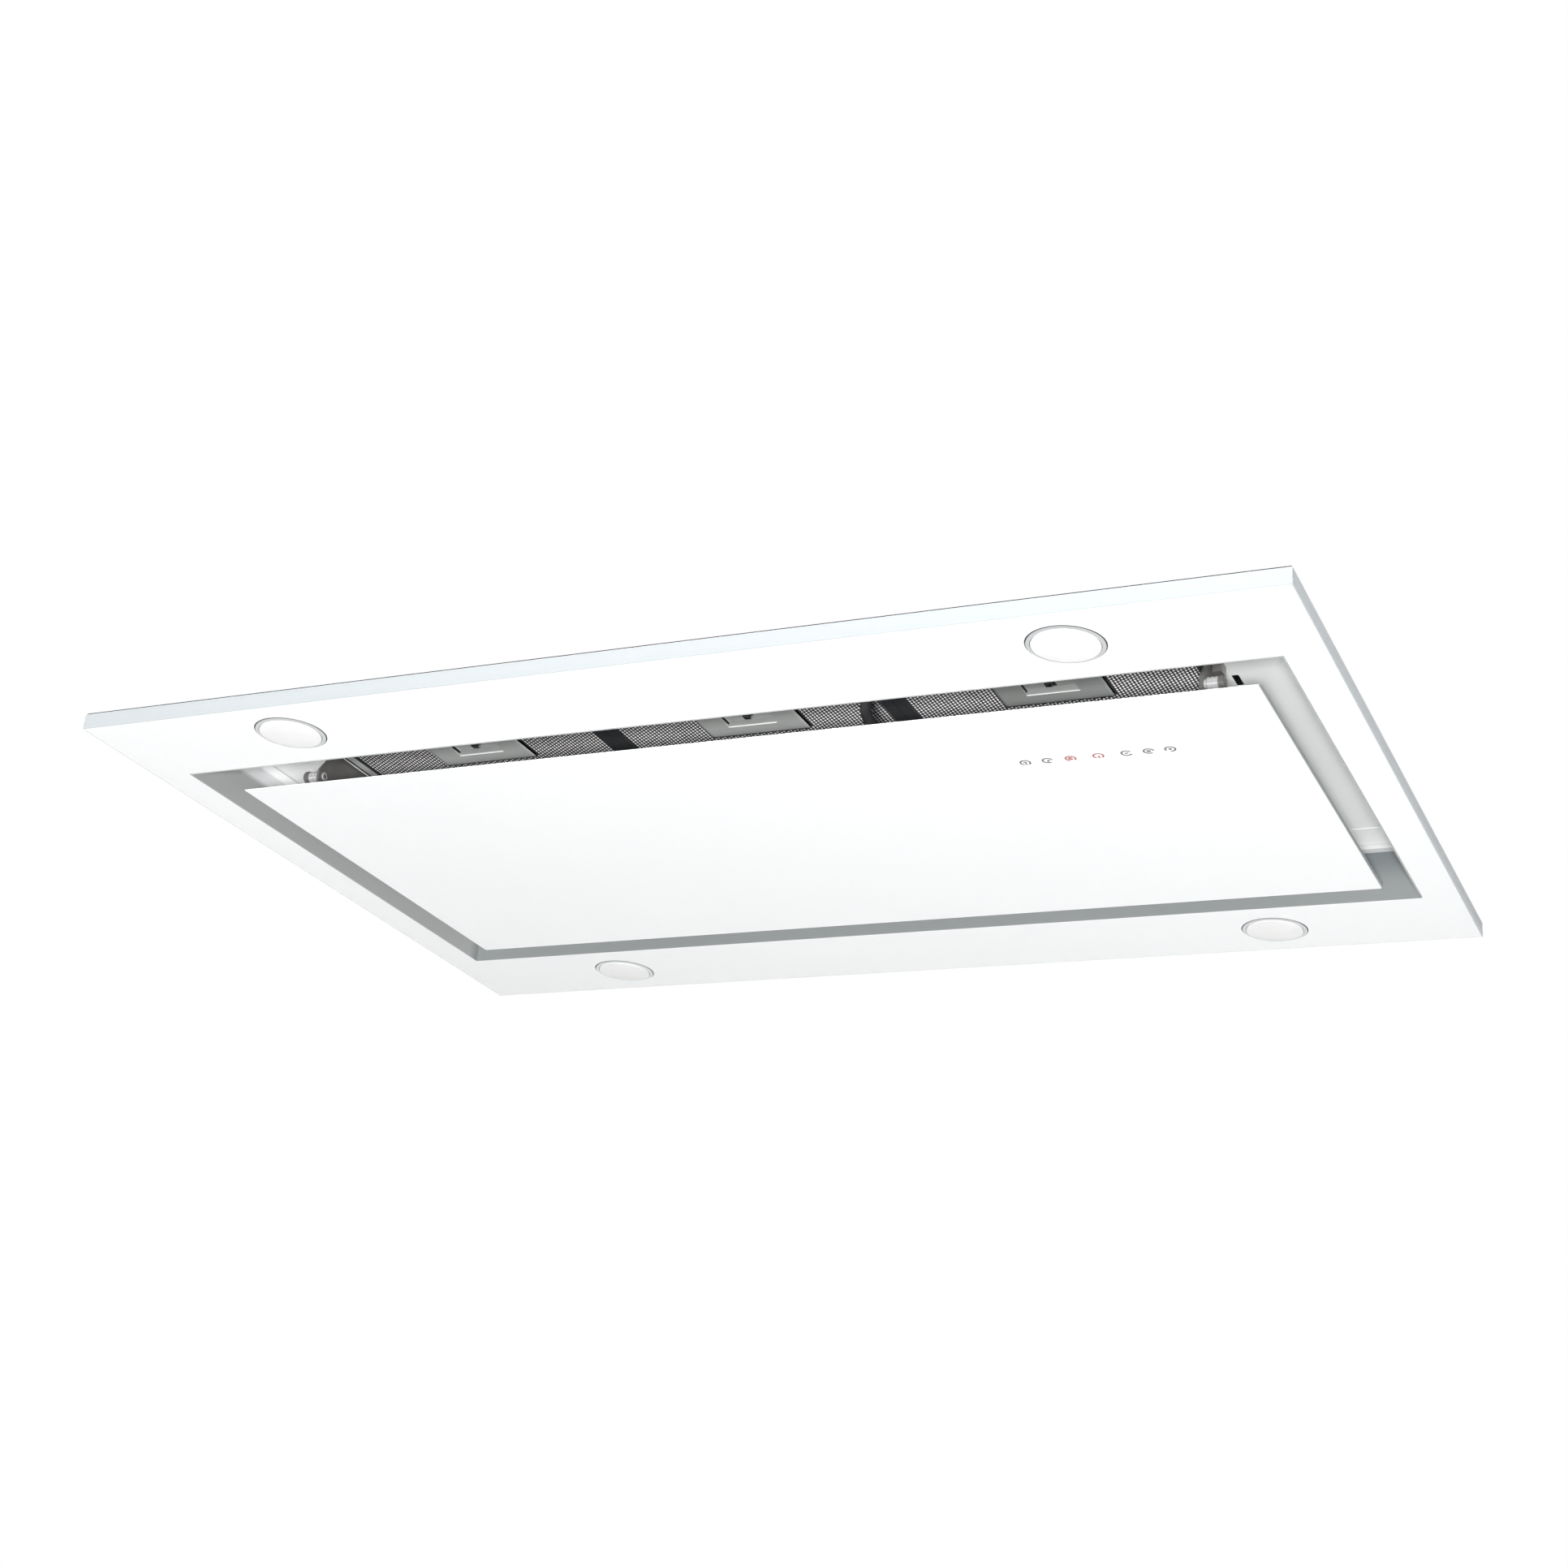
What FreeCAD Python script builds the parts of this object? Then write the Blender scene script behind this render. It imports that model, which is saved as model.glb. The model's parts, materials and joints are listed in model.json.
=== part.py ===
import FreeCAD, Part
import math
import os
from types import SimpleNamespace

import Sketcher

# Ceiling range hood: a white glass frame round a recess with three grease filters, a hinged glass
# panel under the recess, four lamps, and above the ceiling a body box with the blower and its duct.
# The origin is the centre of the panel's underside, +X runs along the long side, -Y is the side
# with the panel's hinges and +Z is up. Sizes are in millimetres and angles in degrees.
sizes = {
    # glass frame and the steel rim behind it
    "frame_width": 900,
    "frame_depth": 600,
    "frame_corner": 2.5,
    "frame_glass": 4,
    "border_end": 28.5,
    "border_side": 90,
    "rim_height": 7.6,
    "rim_setback": 0.3,
    "rim_wall": 1.2,
    "seal_inset": 1,
    "seal_width": 7,
    "seal_height": 1,
    "sheet": 1,
    "fit_gap": 0.3,
    # recess
    "recess_height": 45,
    "recess_bevel": 5,
    "recess_flange": 8,
    "slot_inset": 61.5,
    "slot_y": -95,
    "slot_width": 5,
    "slot_length": 17,
    # glass panel
    "panel_drop": 2.5,
    "gap_side": 25,
    "gap_end": 31,
    "panel_glass": 4,
    "panel_corner": 3.5,
    "tray_inset": 12,
    "tray_height": 6,
    # hinges of the panel
    "hinge_inset": 37,
    "hinge_rise": 23.5,
    "ear_gap": 0.2,
    "ear_sheet": 2,
    "ear_radius": 7,
    "ear_near": 2,
    "ear_far": 26,
    "ear_shoulder": 14,
    "foot_depth": 12,
    "foot_length": 7,
    "foot_height": 8,
    "barrel_gap": 2,
    "barrel_length": 8,
    "barrel_radius": 4.5,
    "pin_radius": 2,
    "running_gap": 0.05,
    "leaf_length": 30,
    "leaf_sheet": 2,
    "head_radius": 5,
    "head_length": 4.5,
    # magnetic catches
    "catch_x": 250,
    "catch_inset": 20.5,
    "catch_width": 30,
    "catch_depth": 10,
    "catch_rise": 14,
    "magnet_height": 6,
    # grease filters
    "plate_end": 73.5,
    "plate_side": 60,
    "filter_height": 10,
    "filter_gap": 0.6,
    "filter_rail": 9.2,
    "filter_lip": 1,
    "filter_groove": 3,
    "bay_margin": 0.8,
    "tab_rise": 4,
    "tab_width": 18,
    "tab_reach": 8,
    "tab_height": 2,
    "tab_x": 70,
    "rail_depth": 9,
    "handle_width": 80,
    "handle_depth": 42,
    "mesh_sheet": 0.8,
    "wave_count": 17,
    "wave_flat": 3,
    "pocket_width": 44,
    "pocket_depth": 12,
    "pocket_inset": 31,
    "bolt_width": 12,
    "bolt_height": 2,
    "bolt_rise": 5,
    "bolt_reach": 6,
    "latch_gap": 0.2,
    "latch_travel": 6,
    "finger_depth": 2.5,
    "keeper_width": 11,
    "keeper_sheet": 0.6,
    "keeper_foot": 11,
    "notch_depth": 8,
    # lamps
    "lamp_inset_x": 155,
    "lamp_inset_y": 43.5,
    "bezel_radius": 29.8,
    "bezel_lip": 1,
    "barrel_outer": 27.5,
    "barrel_inner": 25,
    "barrel_height": 14,
    "lens_radius": 26,
    "lens_height": 1.5,
    "lens_dome": 0.7,
    "board_rise": 8,
    "board_height": 1.6,
    "led_size": 3,
    "led_circle": 12,
    "housing_fin": 2,
    "fin_core": 18,
    "fin_radius": 26.8,
    "spring_reach": 13,
    "spring_width": 10,
    "spring_sheet": 0.6,
    # body box
    "box_inset_x": 19,
    "box_inset_y": 13,
    "box_height": 90,
    "box_flange": 8,
    "box_tab": 400,
    # blower housing
    "housing_width": 340,
    "housing_depth": 330,
    "housing_height": 175,
    "housing_flange": 12,
    "housing_ledge": 10,
    "housing_mouth": 20,
    # blower
    "blower_x": -18,
    "blower_y": -20,
    "scroll_start": 106,
    "scroll_step": 12,
    "scroll_mouth": 110,
    "scroll_reach": 150,
    "scroll_height": 130,
    "scroll_wall": 1.5,
    "plate_sheet": 1.5,
    "inlet_radius": 72,
    "inlet_lip": 8,
    "inlet_height": 9,
    "impeller_radius": 95,
    "impeller_height": 92,
    "impeller_rise": 12,
    "impeller_plate": 1.5,
    "ring_width": 5,
    "blade_count": 36,
    "blade_sheet": 0.8,
    "blade_chord": 15,
    "hub_radius": 12,
    "hub_height": 20,
    "shaft_radius": 4,
    "shaft_entry": 12,
    "motor_radius": 46,
    "motor_height": 48,
    "motor_sunk": 22,
    "motor_flange": 3,
    "motor_gap": 6,
    "damper_height": 8,
    "damper_radius": 7,
    "damper_circle": 68,
    "bracket_sheet": 2,
    "bracket_ring": 17,
    "capacitor_radius": 16,
    "capacitor_height": 70,
    "capacitor_inset_x": 30,
    "capacitor_inset_y": 37,
    # outlet and backdraft flaps
    "outlet_x": 81,
    "outlet_rise": 82,
    "collar_radius": 75,
    "collar_wall": 1.5,
    "collar_length": 48,
    "collar_flange": 80,
    "spindle_radius": 2,
    "spindle_set": 12,
    "flap_sheet": 1,
    "flap_gap": 1,
    "knuckle_wall": 1,
    "knuckle_length": 14,
    # electronics box, lamp driver and cable gland
    "unit_inset": 18,
    "unit_y": 0,
    "unit_gap": 41,
    "unit_depth": 230,
    "unit_height": 44,
    "unit_wall": 1.2,
    "pillar_height": 6,
    "pillar_radius": 4,
    "card_margin": 8,
    "card_height": 1.6,
    "gland_y": 60,
    "gland_radius": 8,
    "gland_bore": 4.5,
    "gland_nut": 11,
    "driver_inset": 113,
    "driver_width": 44,
    "driver_depth": 170,
    "driver_height": 30,
    "driver_ear": 12,
    # suspension brackets
    "hang_inset_x": 51,
    "hang_inset_y": 57,
    "hang_height": 45,
    "hang_width": 32,
    "hang_sheet": 2,
    "hang_hole": 4.5,
    "hang_reach": 15,
    # control unit and lead of the panel
    "touch_inset": 133.5,
    "touch_reach": 45,
    "touch_width": 150,
    "touch_depth": 44,
    "touch_height": 11,
    "touch_wall": 1.5,
    "touch_board": 1.6,
    "lead_radius": 4,
    "lead_reach": 135,
    "lead_gap": 20,
    "lead_inset": 39,
    "grommet_radius": 8.5,
    "grommet_groove": 6.2,
    "grommet_lip": 1.5,
    # pan-head screws
    "screw_radius": 1.9,
    "screw_hole": 2.1,
    "screw_head": 3.6,
    "screw_head_height": 2.4,
    "screw_length": 7,
    "foot_spread_x": 160,
    "foot_spread_y": 180,
    "recess_spread_x": 200,
    "recess_spread_y": 150,
    "housing_spread": 100,
    "lid_spread": 90,
}

document = FreeCAD.newDocument("hood")
sheet = document.addObject("Spreadsheet::Sheet", "sizes")
for row, (alias, number) in enumerate(sizes.items(), 1):
    sheet.set(f"A{row}", alias)
    sheet.set(f"B{row}", str(number))
    sheet.setAlias(f"B{row}", alias)
document.recompute()

nodes = {}
sign = (-1, 1)
corners = [(across, along) for across in sign for along in sign]


class Formula:
    """A length worked out from the sheet: the text of its formula, and its value now."""

    def __init__(self, text, value):
        self.text = text
        self.value = float(value)

    def __add__(self, other):
        other = formula(other)
        return Formula(f"({self.text} + {other.text})", self.value + other.value)

    def __sub__(self, other):
        other = formula(other)
        return Formula(f"({self.text} - {other.text})", self.value - other.value)

    def __mul__(self, other):
        other = formula(other)
        return Formula(f"({self.text} * {other.text})", self.value * other.value)

    def __truediv__(self, other):
        other = formula(other)
        return Formula(f"({self.text} / {other.text})", self.value / other.value)

    def __radd__(self, other):
        return formula(other) + self

    def __rsub__(self, other):
        return formula(other) - self

    def __rmul__(self, other):
        return formula(other) * self

    def __neg__(self):
        return Formula(f"(-1 * {self.text})", -self.value)

    def __float__(self):
        return self.value


def formula(item):
    """A plain number as a formula; a formula as it is."""
    return item if isinstance(item, Formula) else Formula(f"({item})", item)


s = SimpleNamespace(**{alias: Formula("sizes." + alias, sheet.get(alias)) for alias in sizes})


# ---- helpers: linked primitives, booleans and sketches ----


def bind(item, **formulas):
    """Links properties to the sheet."""
    for name, value in formulas.items():
        item.setExpression(name, formula(value).text)
    return item


def move(item, x=0, y=0, z=0):
    """Links an object's place to the sheet."""
    for axis, value in zip("xyz", (x, y, z)):
        item.setExpression("Placement.Base." + axis, formula(value).text)
    return item


def span(width, centre=0):
    """The low and high end of a width about a centre."""
    return centre - width / 2, centre + width / 2


def block(name, x, y, z):
    """A box between the low and high end on each axis."""
    item = document.addObject("Part::Box", name)
    bind(item, Length=x[1] - x[0], Width=y[1] - y[0], Height=z[1] - z[0])
    return move(item, x[0], y[0], z[0])


def rod(name, radius, z, x=0, y=0):
    """An upright cylinder between two heights."""
    item = document.addObject("Part::Cylinder", name)
    bind(item, Radius=radius, Height=z[1] - z[0])
    return move(item, x, y, z[0])


def rod_x(name, radius, x, y, z):
    """A cylinder along X."""
    item = document.addObject("Part::Cylinder", name)
    item.Placement.Rotation = FreeCAD.Rotation(FreeCAD.Vector(0, 1, 0), 90)
    bind(item, Radius=radius, Height=x[1] - x[0])
    return move(item, x[0], y, z)


def rod_y(name, radius, y, x, z):
    """A cylinder along Y."""
    item = document.addObject("Part::Cylinder", name)
    item.Placement.Rotation = FreeCAD.Rotation(FreeCAD.Vector(1, 0, 0), -90)
    bind(item, Radius=radius, Height=y[1] - y[0])
    return move(item, x, y[0], z)


def fuse(name, *items):
    """Items joined into one solid."""
    item = document.addObject("Part::MultiFuse", name)
    item.Shapes = list(items)
    return item


def cut(name, base, *tools):
    """A base with its tools taken away."""
    item = document.addObject("Part::Cut", name)
    item.Base = base
    item.Tool = tools[0] if len(tools) == 1 else group(name + "_tools", *tools)
    return item


def group(name, *items):
    """Separate solids held together as one object."""
    item = document.addObject("Part::Compound", name)
    item.Links = list(items)
    return item


def mirror(name, item, x=0, y=0):
    """A mirror image across the hood's centre plane."""
    image = document.addObject("Part::Mirroring", name)
    image.Source = item
    image.Normal = FreeCAD.Vector(x, y, 0)
    return image


def pair(name, item):
    """An item and its image on the other side, left and right."""
    return group(name, item, mirror(name + "_left", item, x=1))


def four(name, item):
    """An item in the front right corner and its images in the other three."""
    right = group(name + "_near", item, mirror(name + "_left", item, x=1))
    return group(name, right, mirror(name + "_far", right, y=1))


def new_body(name, x=0, y=0, z=0):
    return move(document.addObject("PartDesign::Body", name), x, y, z)


def origin_item(body, role):
    return next(item for item in body.Origin.OriginFeatures if item.Role == role)


def new_sketch(body, name, role="XY_Plane", lift=0):
    """A sketch on one of the body's own planes, lifted along the plane's normal."""
    drawing = body.newObject("Sketcher::SketchObject", name)
    drawing.AttachmentSupport = [(origin_item(body, role), "")]
    drawing.MapMode = "FlatFace"
    drawing.setExpression("AttachmentOffset.Base.z", formula(lift).text)
    return drawing


def constrain(drawing, kind, value, *places):
    """A size in a sketch, linked to the sheet."""
    value = formula(value)
    index = drawing.addConstraint(Sketcher.Constraint(kind, *places, value.value))
    drawing.setExpression(f"Constraints[{index}]", value.text)


def draw_outline(drawing, points):
    """A closed outline of straight lines, each corner placed from the sketch's origin."""
    points = [(formula(x), formula(y)) for x, y in points]
    first = drawing.GeometryCount
    count = len(points)
    for index, start in enumerate(points):
        end = points[(index + 1) % count]
        line = Part.LineSegment(
            FreeCAD.Vector(start[0].value, start[1].value, 0), FreeCAD.Vector(end[0].value, end[1].value, 0)
        )
        drawing.addGeometry(line, False)
    for index in range(count):
        after = first + (index + 1) % count
        drawing.addConstraint(Sketcher.Constraint("Coincident", first + index, 2, after, 1))
    for index, (x, y) in enumerate(points):
        constrain(drawing, "DistanceX", x, -1, 1, first + index, 1)
        constrain(drawing, "DistanceY", y, -1, 1, first + index, 1)


def draw_rectangle(drawing, x, y):
    """A rectangle between the low and high end on each of the sketch's axes."""
    draw_outline(drawing, [(x[0], y[0]), (x[1], y[0]), (x[1], y[1]), (x[0], y[1])])


def draw_circle(drawing, x, y, radius):
    x, y, radius = formula(x), formula(y), formula(radius)
    index = drawing.addGeometry(Part.Circle(FreeCAD.Vector(x.value, y.value, 0), FreeCAD.Vector(0, 0, 1), radius.value))
    constrain(drawing, "DistanceX", x, -1, 1, index, 3)
    constrain(drawing, "DistanceY", y, -1, 1, index, 3)
    constrain(drawing, "Radius", radius, index)


def pad(body, drawing, name, length, turned=False):
    feature = body.newObject("PartDesign::Pad", name)
    feature.Profile = drawing
    feature.Reversed = turned
    return bind(feature, Length=length)


def pocket(body, drawing, name, depth, turned=False):
    """A pocket that has to take something away."""
    document.recompute()
    before = body.Shape.Volume
    feature = body.newObject("PartDesign::Pocket", name)
    feature.Profile = drawing
    feature.Reversed = turned
    bind(feature, Length=depth)
    document.recompute()
    if body.Shape.Volume > before - 0.001:
        raise RuntimeError(name + " cuts nothing")
    return feature


def revolve(body, drawing, name):
    """A full turn of a profile about the sketch's upright axis."""
    feature = body.newObject("PartDesign::Revolution", name)
    feature.Profile = drawing
    feature.ReferenceAxis = (drawing, ["V_Axis"])
    feature.Angle = 360
    return feature


def turned_part(name, profile, x=0, y=0, z=0):
    """A round piece turned from its radius and height profile."""
    body = new_body(name, x, y, z)
    drawing = new_sketch(body, name + "_profile", "XZ_Plane")
    draw_outline(drawing, profile)
    revolve(body, drawing, name + "_turn")
    return body


def profile_part(name, points, x):
    """A bent or cut piece: an outline in the YZ plane, carried along X."""
    body = new_body(name, x[0])
    drawing = new_sketch(body, name + "_profile", "YZ_Plane")
    draw_outline(drawing, points)
    pad(body, drawing, name + "_pad", x[1] - x[0])
    return body


def round_edges(body, feature, name, radius, chosen):
    """Rounds those of a feature's edges that are chosen."""
    document.recompute()
    edges = [f"Edge{index}" for index, edge in enumerate(feature.Shape.Edges, 1) if chosen(edge)]
    rounding = body.newObject("PartDesign::Fillet", name)
    rounding.Base = (feature, edges)
    return bind(rounding, Radius=radius)


def upright(edge):
    """An edge that runs straight up."""
    box = edge.BoundBox
    return box.ZLength > 0.1 and box.XLength < 0.001 and box.YLength < 0.001


def keep(item):
    """A finished piece, written to the file that its label names."""
    nodes[item.Label] = item
    return item


def shape_part(name, shape):
    """A piece whose shape is worked out from the sheet's sizes."""
    item = document.addObject("Part::Feature", name)
    item.Shape = shape
    return item


def pilot_holes(name, spots, z):
    """The tools for a set of screw holes."""
    return [rod(f"{name}_{index}", s.screw_hole, z, x, y) for index, (x, y) in enumerate(spots)]


def spots_round(x, y, along_x, along_y):
    """Two spots on each side of a rectangle."""
    ends = [(across * x, along * along_y) for across, along in corners]
    sides = [(across * along_x, along * y) for across, along in corners]
    return ends + sides


# ---- heights and places that several pieces share ----

frame_low = s.panel_drop
rim_low = frame_low + s.frame_glass
rim_high = rim_low + s.rim_height
ceiling = frame_low + s.recess_height
ceiling_high = ceiling + s.sheet
box_high = rim_high + s.box_height
housing_high = box_high + s.housing_height
tray_floor = s.panel_glass + s.sheet
axis_z = s.hinge_rise

# places and widths that follow the frame, the filters or the housing when one of these changes
s.opening_width = s.frame_width - 2 * s.border_end
s.opening_depth = s.frame_depth - 2 * s.border_side
s.box_width = s.frame_width - 2 * s.box_inset_x
s.box_depth = s.frame_depth - 2 * s.box_inset_y
s.lamp_x = s.frame_width / 2 - s.lamp_inset_x
s.lamp_y = s.frame_depth / 2 - s.lamp_inset_y
s.filter_pitch = (s.opening_width - 2 * s.plate_end) / 3
s.filter_length = s.opening_depth - 2 * s.plate_side
s.slot_x = s.opening_width / 2 - s.slot_inset
panel_width = s.opening_width - 2 * s.gap_side
panel_depth = s.opening_depth - 2 * s.gap_end
axis_y = s.hinge_inset - panel_depth / 2
s.catch_y = panel_depth / 2 - s.catch_inset
s.touch_x = panel_width / 2 - s.touch_inset
s.touch_y = axis_y + s.touch_reach
s.capacitor_x = s.capacitor_inset_x - s.housing_width / 2
s.capacitor_y = s.housing_depth / 2 - s.capacitor_inset_y
s.unit_width = (s.box_width - s.housing_width) / 2 - s.unit_inset - s.housing_flange - s.unit_gap
s.unit_x = s.unit_inset + s.unit_width / 2 - s.box_width / 2
s.driver_x = s.box_width / 2 - s.driver_inset
s.hang_x = s.box_width / 2 - s.hang_inset_x
s.hang_y = s.box_depth / 2 - s.hang_inset_y
s.lead_x = s.touch_x - s.lead_reach
s.lead_y = -s.filter_length / 2 - s.lead_gap
bay_x = 1.5 * s.filter_pitch + s.bay_margin
bay_y = s.filter_length / 2 + s.bay_margin
s.ear_x = bay_x + s.ear_gap
s.barrel_x = s.ear_x + s.ear_sheet + s.barrel_gap
filter_near = -1 * s.filter_length / 2
filter_spots = [("1", -1 * s.filter_pitch), ("2", formula(0)), ("3", s.filter_pitch)]
bolt_low = ceiling + s.bolt_rise
bolt_high = bolt_low + s.bolt_height
recess_width = s.opening_width - 2 * s.fit_gap
recess_depth = s.opening_depth - 2 * s.fit_gap
scroll_low = box_high + s.plate_sheet
scroll_high = scroll_low + s.scroll_height
outlet_z = box_high + s.outlet_rise
housing_rear = s.housing_depth / 2

box_tab_y = s.box_depth / 2 - s.sheet - s.box_flange / 2
flange_spots = spots_round((s.box_width + s.box_flange) / 2, box_tab_y, s.foot_spread_x, s.foot_spread_y)
recess_spots = spots_round(
    (s.opening_width + s.recess_flange) / 2,
    (s.opening_depth + s.recess_flange) / 2,
    s.recess_spread_x,
    s.recess_spread_y,
)
housing_spots = spots_round(
    (s.housing_width + s.housing_flange) / 2,
    (s.housing_depth + s.housing_flange) / 2,
    s.housing_spread,
    s.housing_spread,
)
lid_x = (s.housing_width - s.housing_ledge) / 2
lid_spots = [(across * lid_x, along * s.lid_spread) for across, along in corners]


# ---- fascia ----


def make_glass_frame():
    """The white glass frame with its opening and the four lamp holes."""
    body = new_body("glass_frame", z=frame_low)
    drawing = new_sketch(body, "glass_frame_outline")
    draw_rectangle(drawing, span(s.frame_width), span(s.frame_depth))
    plate = pad(body, drawing, "glass_frame_pad", s.frame_glass)
    round_edges(body, plate, "glass_frame_corners", s.frame_corner, upright)
    openings = new_sketch(body, "glass_frame_openings")
    draw_rectangle(openings, span(s.opening_width), span(s.opening_depth))
    for across, along in corners:
        draw_circle(openings, across * s.lamp_x, along * s.lamp_y, s.barrel_outer + s.fit_gap)
    pocket(body, openings, "glass_frame_cuts", s.frame_glass, turned=True)
    keep(body)


def make_fascia_rim():
    """The folded steel rim that the glass frame is bonded to: two skirts and a web on top."""
    outer_width = s.frame_width - 2 * s.rim_setback
    outer_depth = s.frame_depth - 2 * s.rim_setback
    whole = block("rim_whole", span(outer_width), span(outer_depth), (rim_low, rim_high))
    opening = block("rim_opening", span(s.opening_width), span(s.opening_depth), (rim_low, rim_high))
    channel_high = rim_high - s.sheet
    hollow = block(
        "rim_hollow",
        span(outer_width - 2 * s.rim_wall),
        span(outer_depth - 2 * s.rim_wall),
        (rim_low, channel_high),
    )
    skirt = block(
        "rim_skirt",
        span(s.opening_width + 2 * s.rim_wall),
        span(s.opening_depth + 2 * s.rim_wall),
        (rim_low, channel_high),
    )
    channel = cut("rim_channel", hollow, skirt)
    lamp_holes = [
        rod(f"rim_lamp_{index}", s.barrel_outer + s.fit_gap, (rim_low, rim_high), across * s.lamp_x, along * s.lamp_y)
        for index, (across, along) in enumerate(corners)
    ]
    web = (rim_low, rim_high)
    screw_holes = pilot_holes("rim_box_hole", flange_spots, web) + pilot_holes("rim_recess_hole", recess_spots, web)
    keep(cut("fascia_rim", whole, opening, channel, *lamp_holes, *screw_holes))


def make_ceiling_seal():
    """The foam strip on the rim, outside the body box, that lies against the ceiling."""
    width = s.frame_width - 2 * s.seal_inset
    depth = s.frame_depth - 2 * s.seal_inset
    z = (rim_high, rim_high + s.seal_height)
    inside = block("seal_inside", span(width - 2 * s.seal_width), span(depth - 2 * s.seal_width), z)
    keep(cut("ceiling_seal", block("seal_whole", span(width), span(depth), z), inside))


def bevelled_block(name, width, depth, z, bevel):
    """A block whose upper edges are bevelled at 45 degrees."""
    shoulder = z[1] - bevel
    lower = block(name + "_lower", span(width), span(depth), (z[0], shoulder))
    upper = document.addObject("Part::Wedge", name + "_upper")
    # the wedge narrows along its own Y, which is turned to point up
    upper.Placement.Rotation = FreeCAD.Rotation(FreeCAD.Vector(1, 0, 0), 90)
    bind(upper, Xmin=-width / 2, Xmax=width / 2, Zmin=-depth / 2, Zmax=depth / 2, Ymin=0, Ymax=bevel)
    bind(upper, X2min=bevel - width / 2, X2max=width / 2 - bevel)
    bind(upper, Z2min=bevel - depth / 2, Z2max=depth / 2 - bevel)
    move(upper, z=shoulder)
    return fuse(name, lower, upper)


def make_recess_tray():
    """The folded steel recess: walls, a bevel, and the plate that the filters sit in."""
    # the outer bevel is longer, so that the wall is one sheet thick all the way round the bend
    outer_bevel = s.recess_bevel + (2 - math.sqrt(2)) * s.sheet
    shell = bevelled_block("recess_shell", recess_width, recess_depth, (frame_low, ceiling_high), outer_bevel)
    flange = block(
        "recess_flange",
        span(s.opening_width + 2 * s.recess_flange),
        span(s.opening_depth + 2 * s.recess_flange),
        (rim_high, rim_high + s.sheet),
    )
    inside = bevelled_block(
        "recess_inside",
        recess_width - 2 * s.sheet,
        recess_depth - 2 * s.sheet,
        (frame_low, ceiling),
        s.recess_bevel,
    )
    plate = (ceiling, ceiling_high)
    bay = block("recess_bay", span(2 * bay_x), span(2 * bay_y), plate)
    notches = [
        block(
            "recess_notch_" + number,
            span(s.bolt_width + 2 * s.bay_margin, x),
            (-1 * bay_y - s.notch_depth, -1 * bay_y),
            plate,
        )
        for number, x in filter_spots
    ]
    slot = block("recess_slot", span(s.slot_width, s.slot_x), span(s.slot_length, s.slot_y), plate)
    lead_hole = rod("recess_lead_hole", s.grommet_groove + s.running_gap, plate, s.lead_x, s.lead_y)
    holes = pilot_holes("recess_hole", recess_spots, (rim_high, rim_high + s.sheet))
    whole = fuse("recess_whole", shell, flange)
    keep(cut("recess_tray", whole, inside, bay, *notches, slot, lead_hole, *holes))


# ---- lamps: each piece is made for the far right lamp and mirrored to the other three ----


def make_lamp_bezel():
    """The chromed ring with its barrel and the ledge over the lens."""
    lens_top = s.lens_height - s.bezel_lip
    profile = [
        (s.lens_radius, -1 * s.bezel_lip),
        (s.bezel_radius - s.bezel_lip / 2, -1 * s.bezel_lip),
        (s.bezel_radius, -1 * s.bezel_lip / 2),
        (s.bezel_radius, 0),
        (s.barrel_outer, 0),
        (s.barrel_outer, s.barrel_height),
        (s.barrel_inner, s.barrel_height),
        (s.barrel_inner, lens_top),
        (s.lens_radius, lens_top),
    ]
    keep(four("lamp_bezels", turned_part("lamp_bezel", profile, s.lamp_x, s.lamp_y, frame_low)))


def make_lamp_lens():
    """The clear lens, slightly domed below."""
    radius = s.lens_radius - s.running_gap
    low = frame_low - s.bezel_lip - s.lens_dome
    high = frame_low + s.lens_height - s.bezel_lip
    disc = rod("lens_disc", radius, (low, high), s.lamp_x, s.lamp_y)
    # the ball's cap is lens_dome deep at the lens's rim
    ball_radius = (radius * radius + s.lens_dome * s.lens_dome) / (2 * s.lens_dome)
    ball = bind(document.addObject("Part::Sphere", "lens_ball"), Radius=ball_radius)
    move(ball, s.lamp_x, s.lamp_y, low + ball_radius)
    lens = document.addObject("Part::Common", "lamp_lens")
    lens.Base = disc
    lens.Tool = ball
    keep(four("lamp_lenses", lens))


def make_lamp_board():
    """The round board with seven light-emitting chips on its underside."""
    low = frame_low + s.board_rise
    disc = rod("board_disc", s.barrel_inner - s.fit_gap, (low, low + s.board_height), s.lamp_x, s.lamp_y)
    chips = []
    for index in range(7):
        angle = math.radians(60 * index)
        reach = s.led_circle if index else formula(0)
        x = s.lamp_x + reach * round(math.cos(angle), 6)
        y = s.lamp_y + reach * round(math.sin(angle), 6)
        chips.append(block(f"board_chip_{index}", span(s.led_size, x), span(s.led_size, y), (low - 1, low)))
    keep(four("lamp_boards", fuse("lamp_board", disc, *chips)))


def make_lamp_housing():
    """The finned heat sink above the board."""
    low = s.board_rise + s.board_height
    plug = s.barrel_inner - s.fit_gap
    profile = [(0, low), (plug, low), (plug, s.barrel_height)]
    height = s.barrel_height
    for fin in range(3):
        if fin:
            profile += [(s.fin_core, height), (s.fin_core, height + s.housing_fin)]
            height = height + s.housing_fin
        profile += [(s.fin_radius, height), (s.fin_radius, height + s.housing_fin)]
        height = height + s.housing_fin
    profile.append((0, height))
    keep(four("lamp_housings", turned_part("lamp_housing", profile, s.lamp_x, s.lamp_y, frame_low)))


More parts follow.
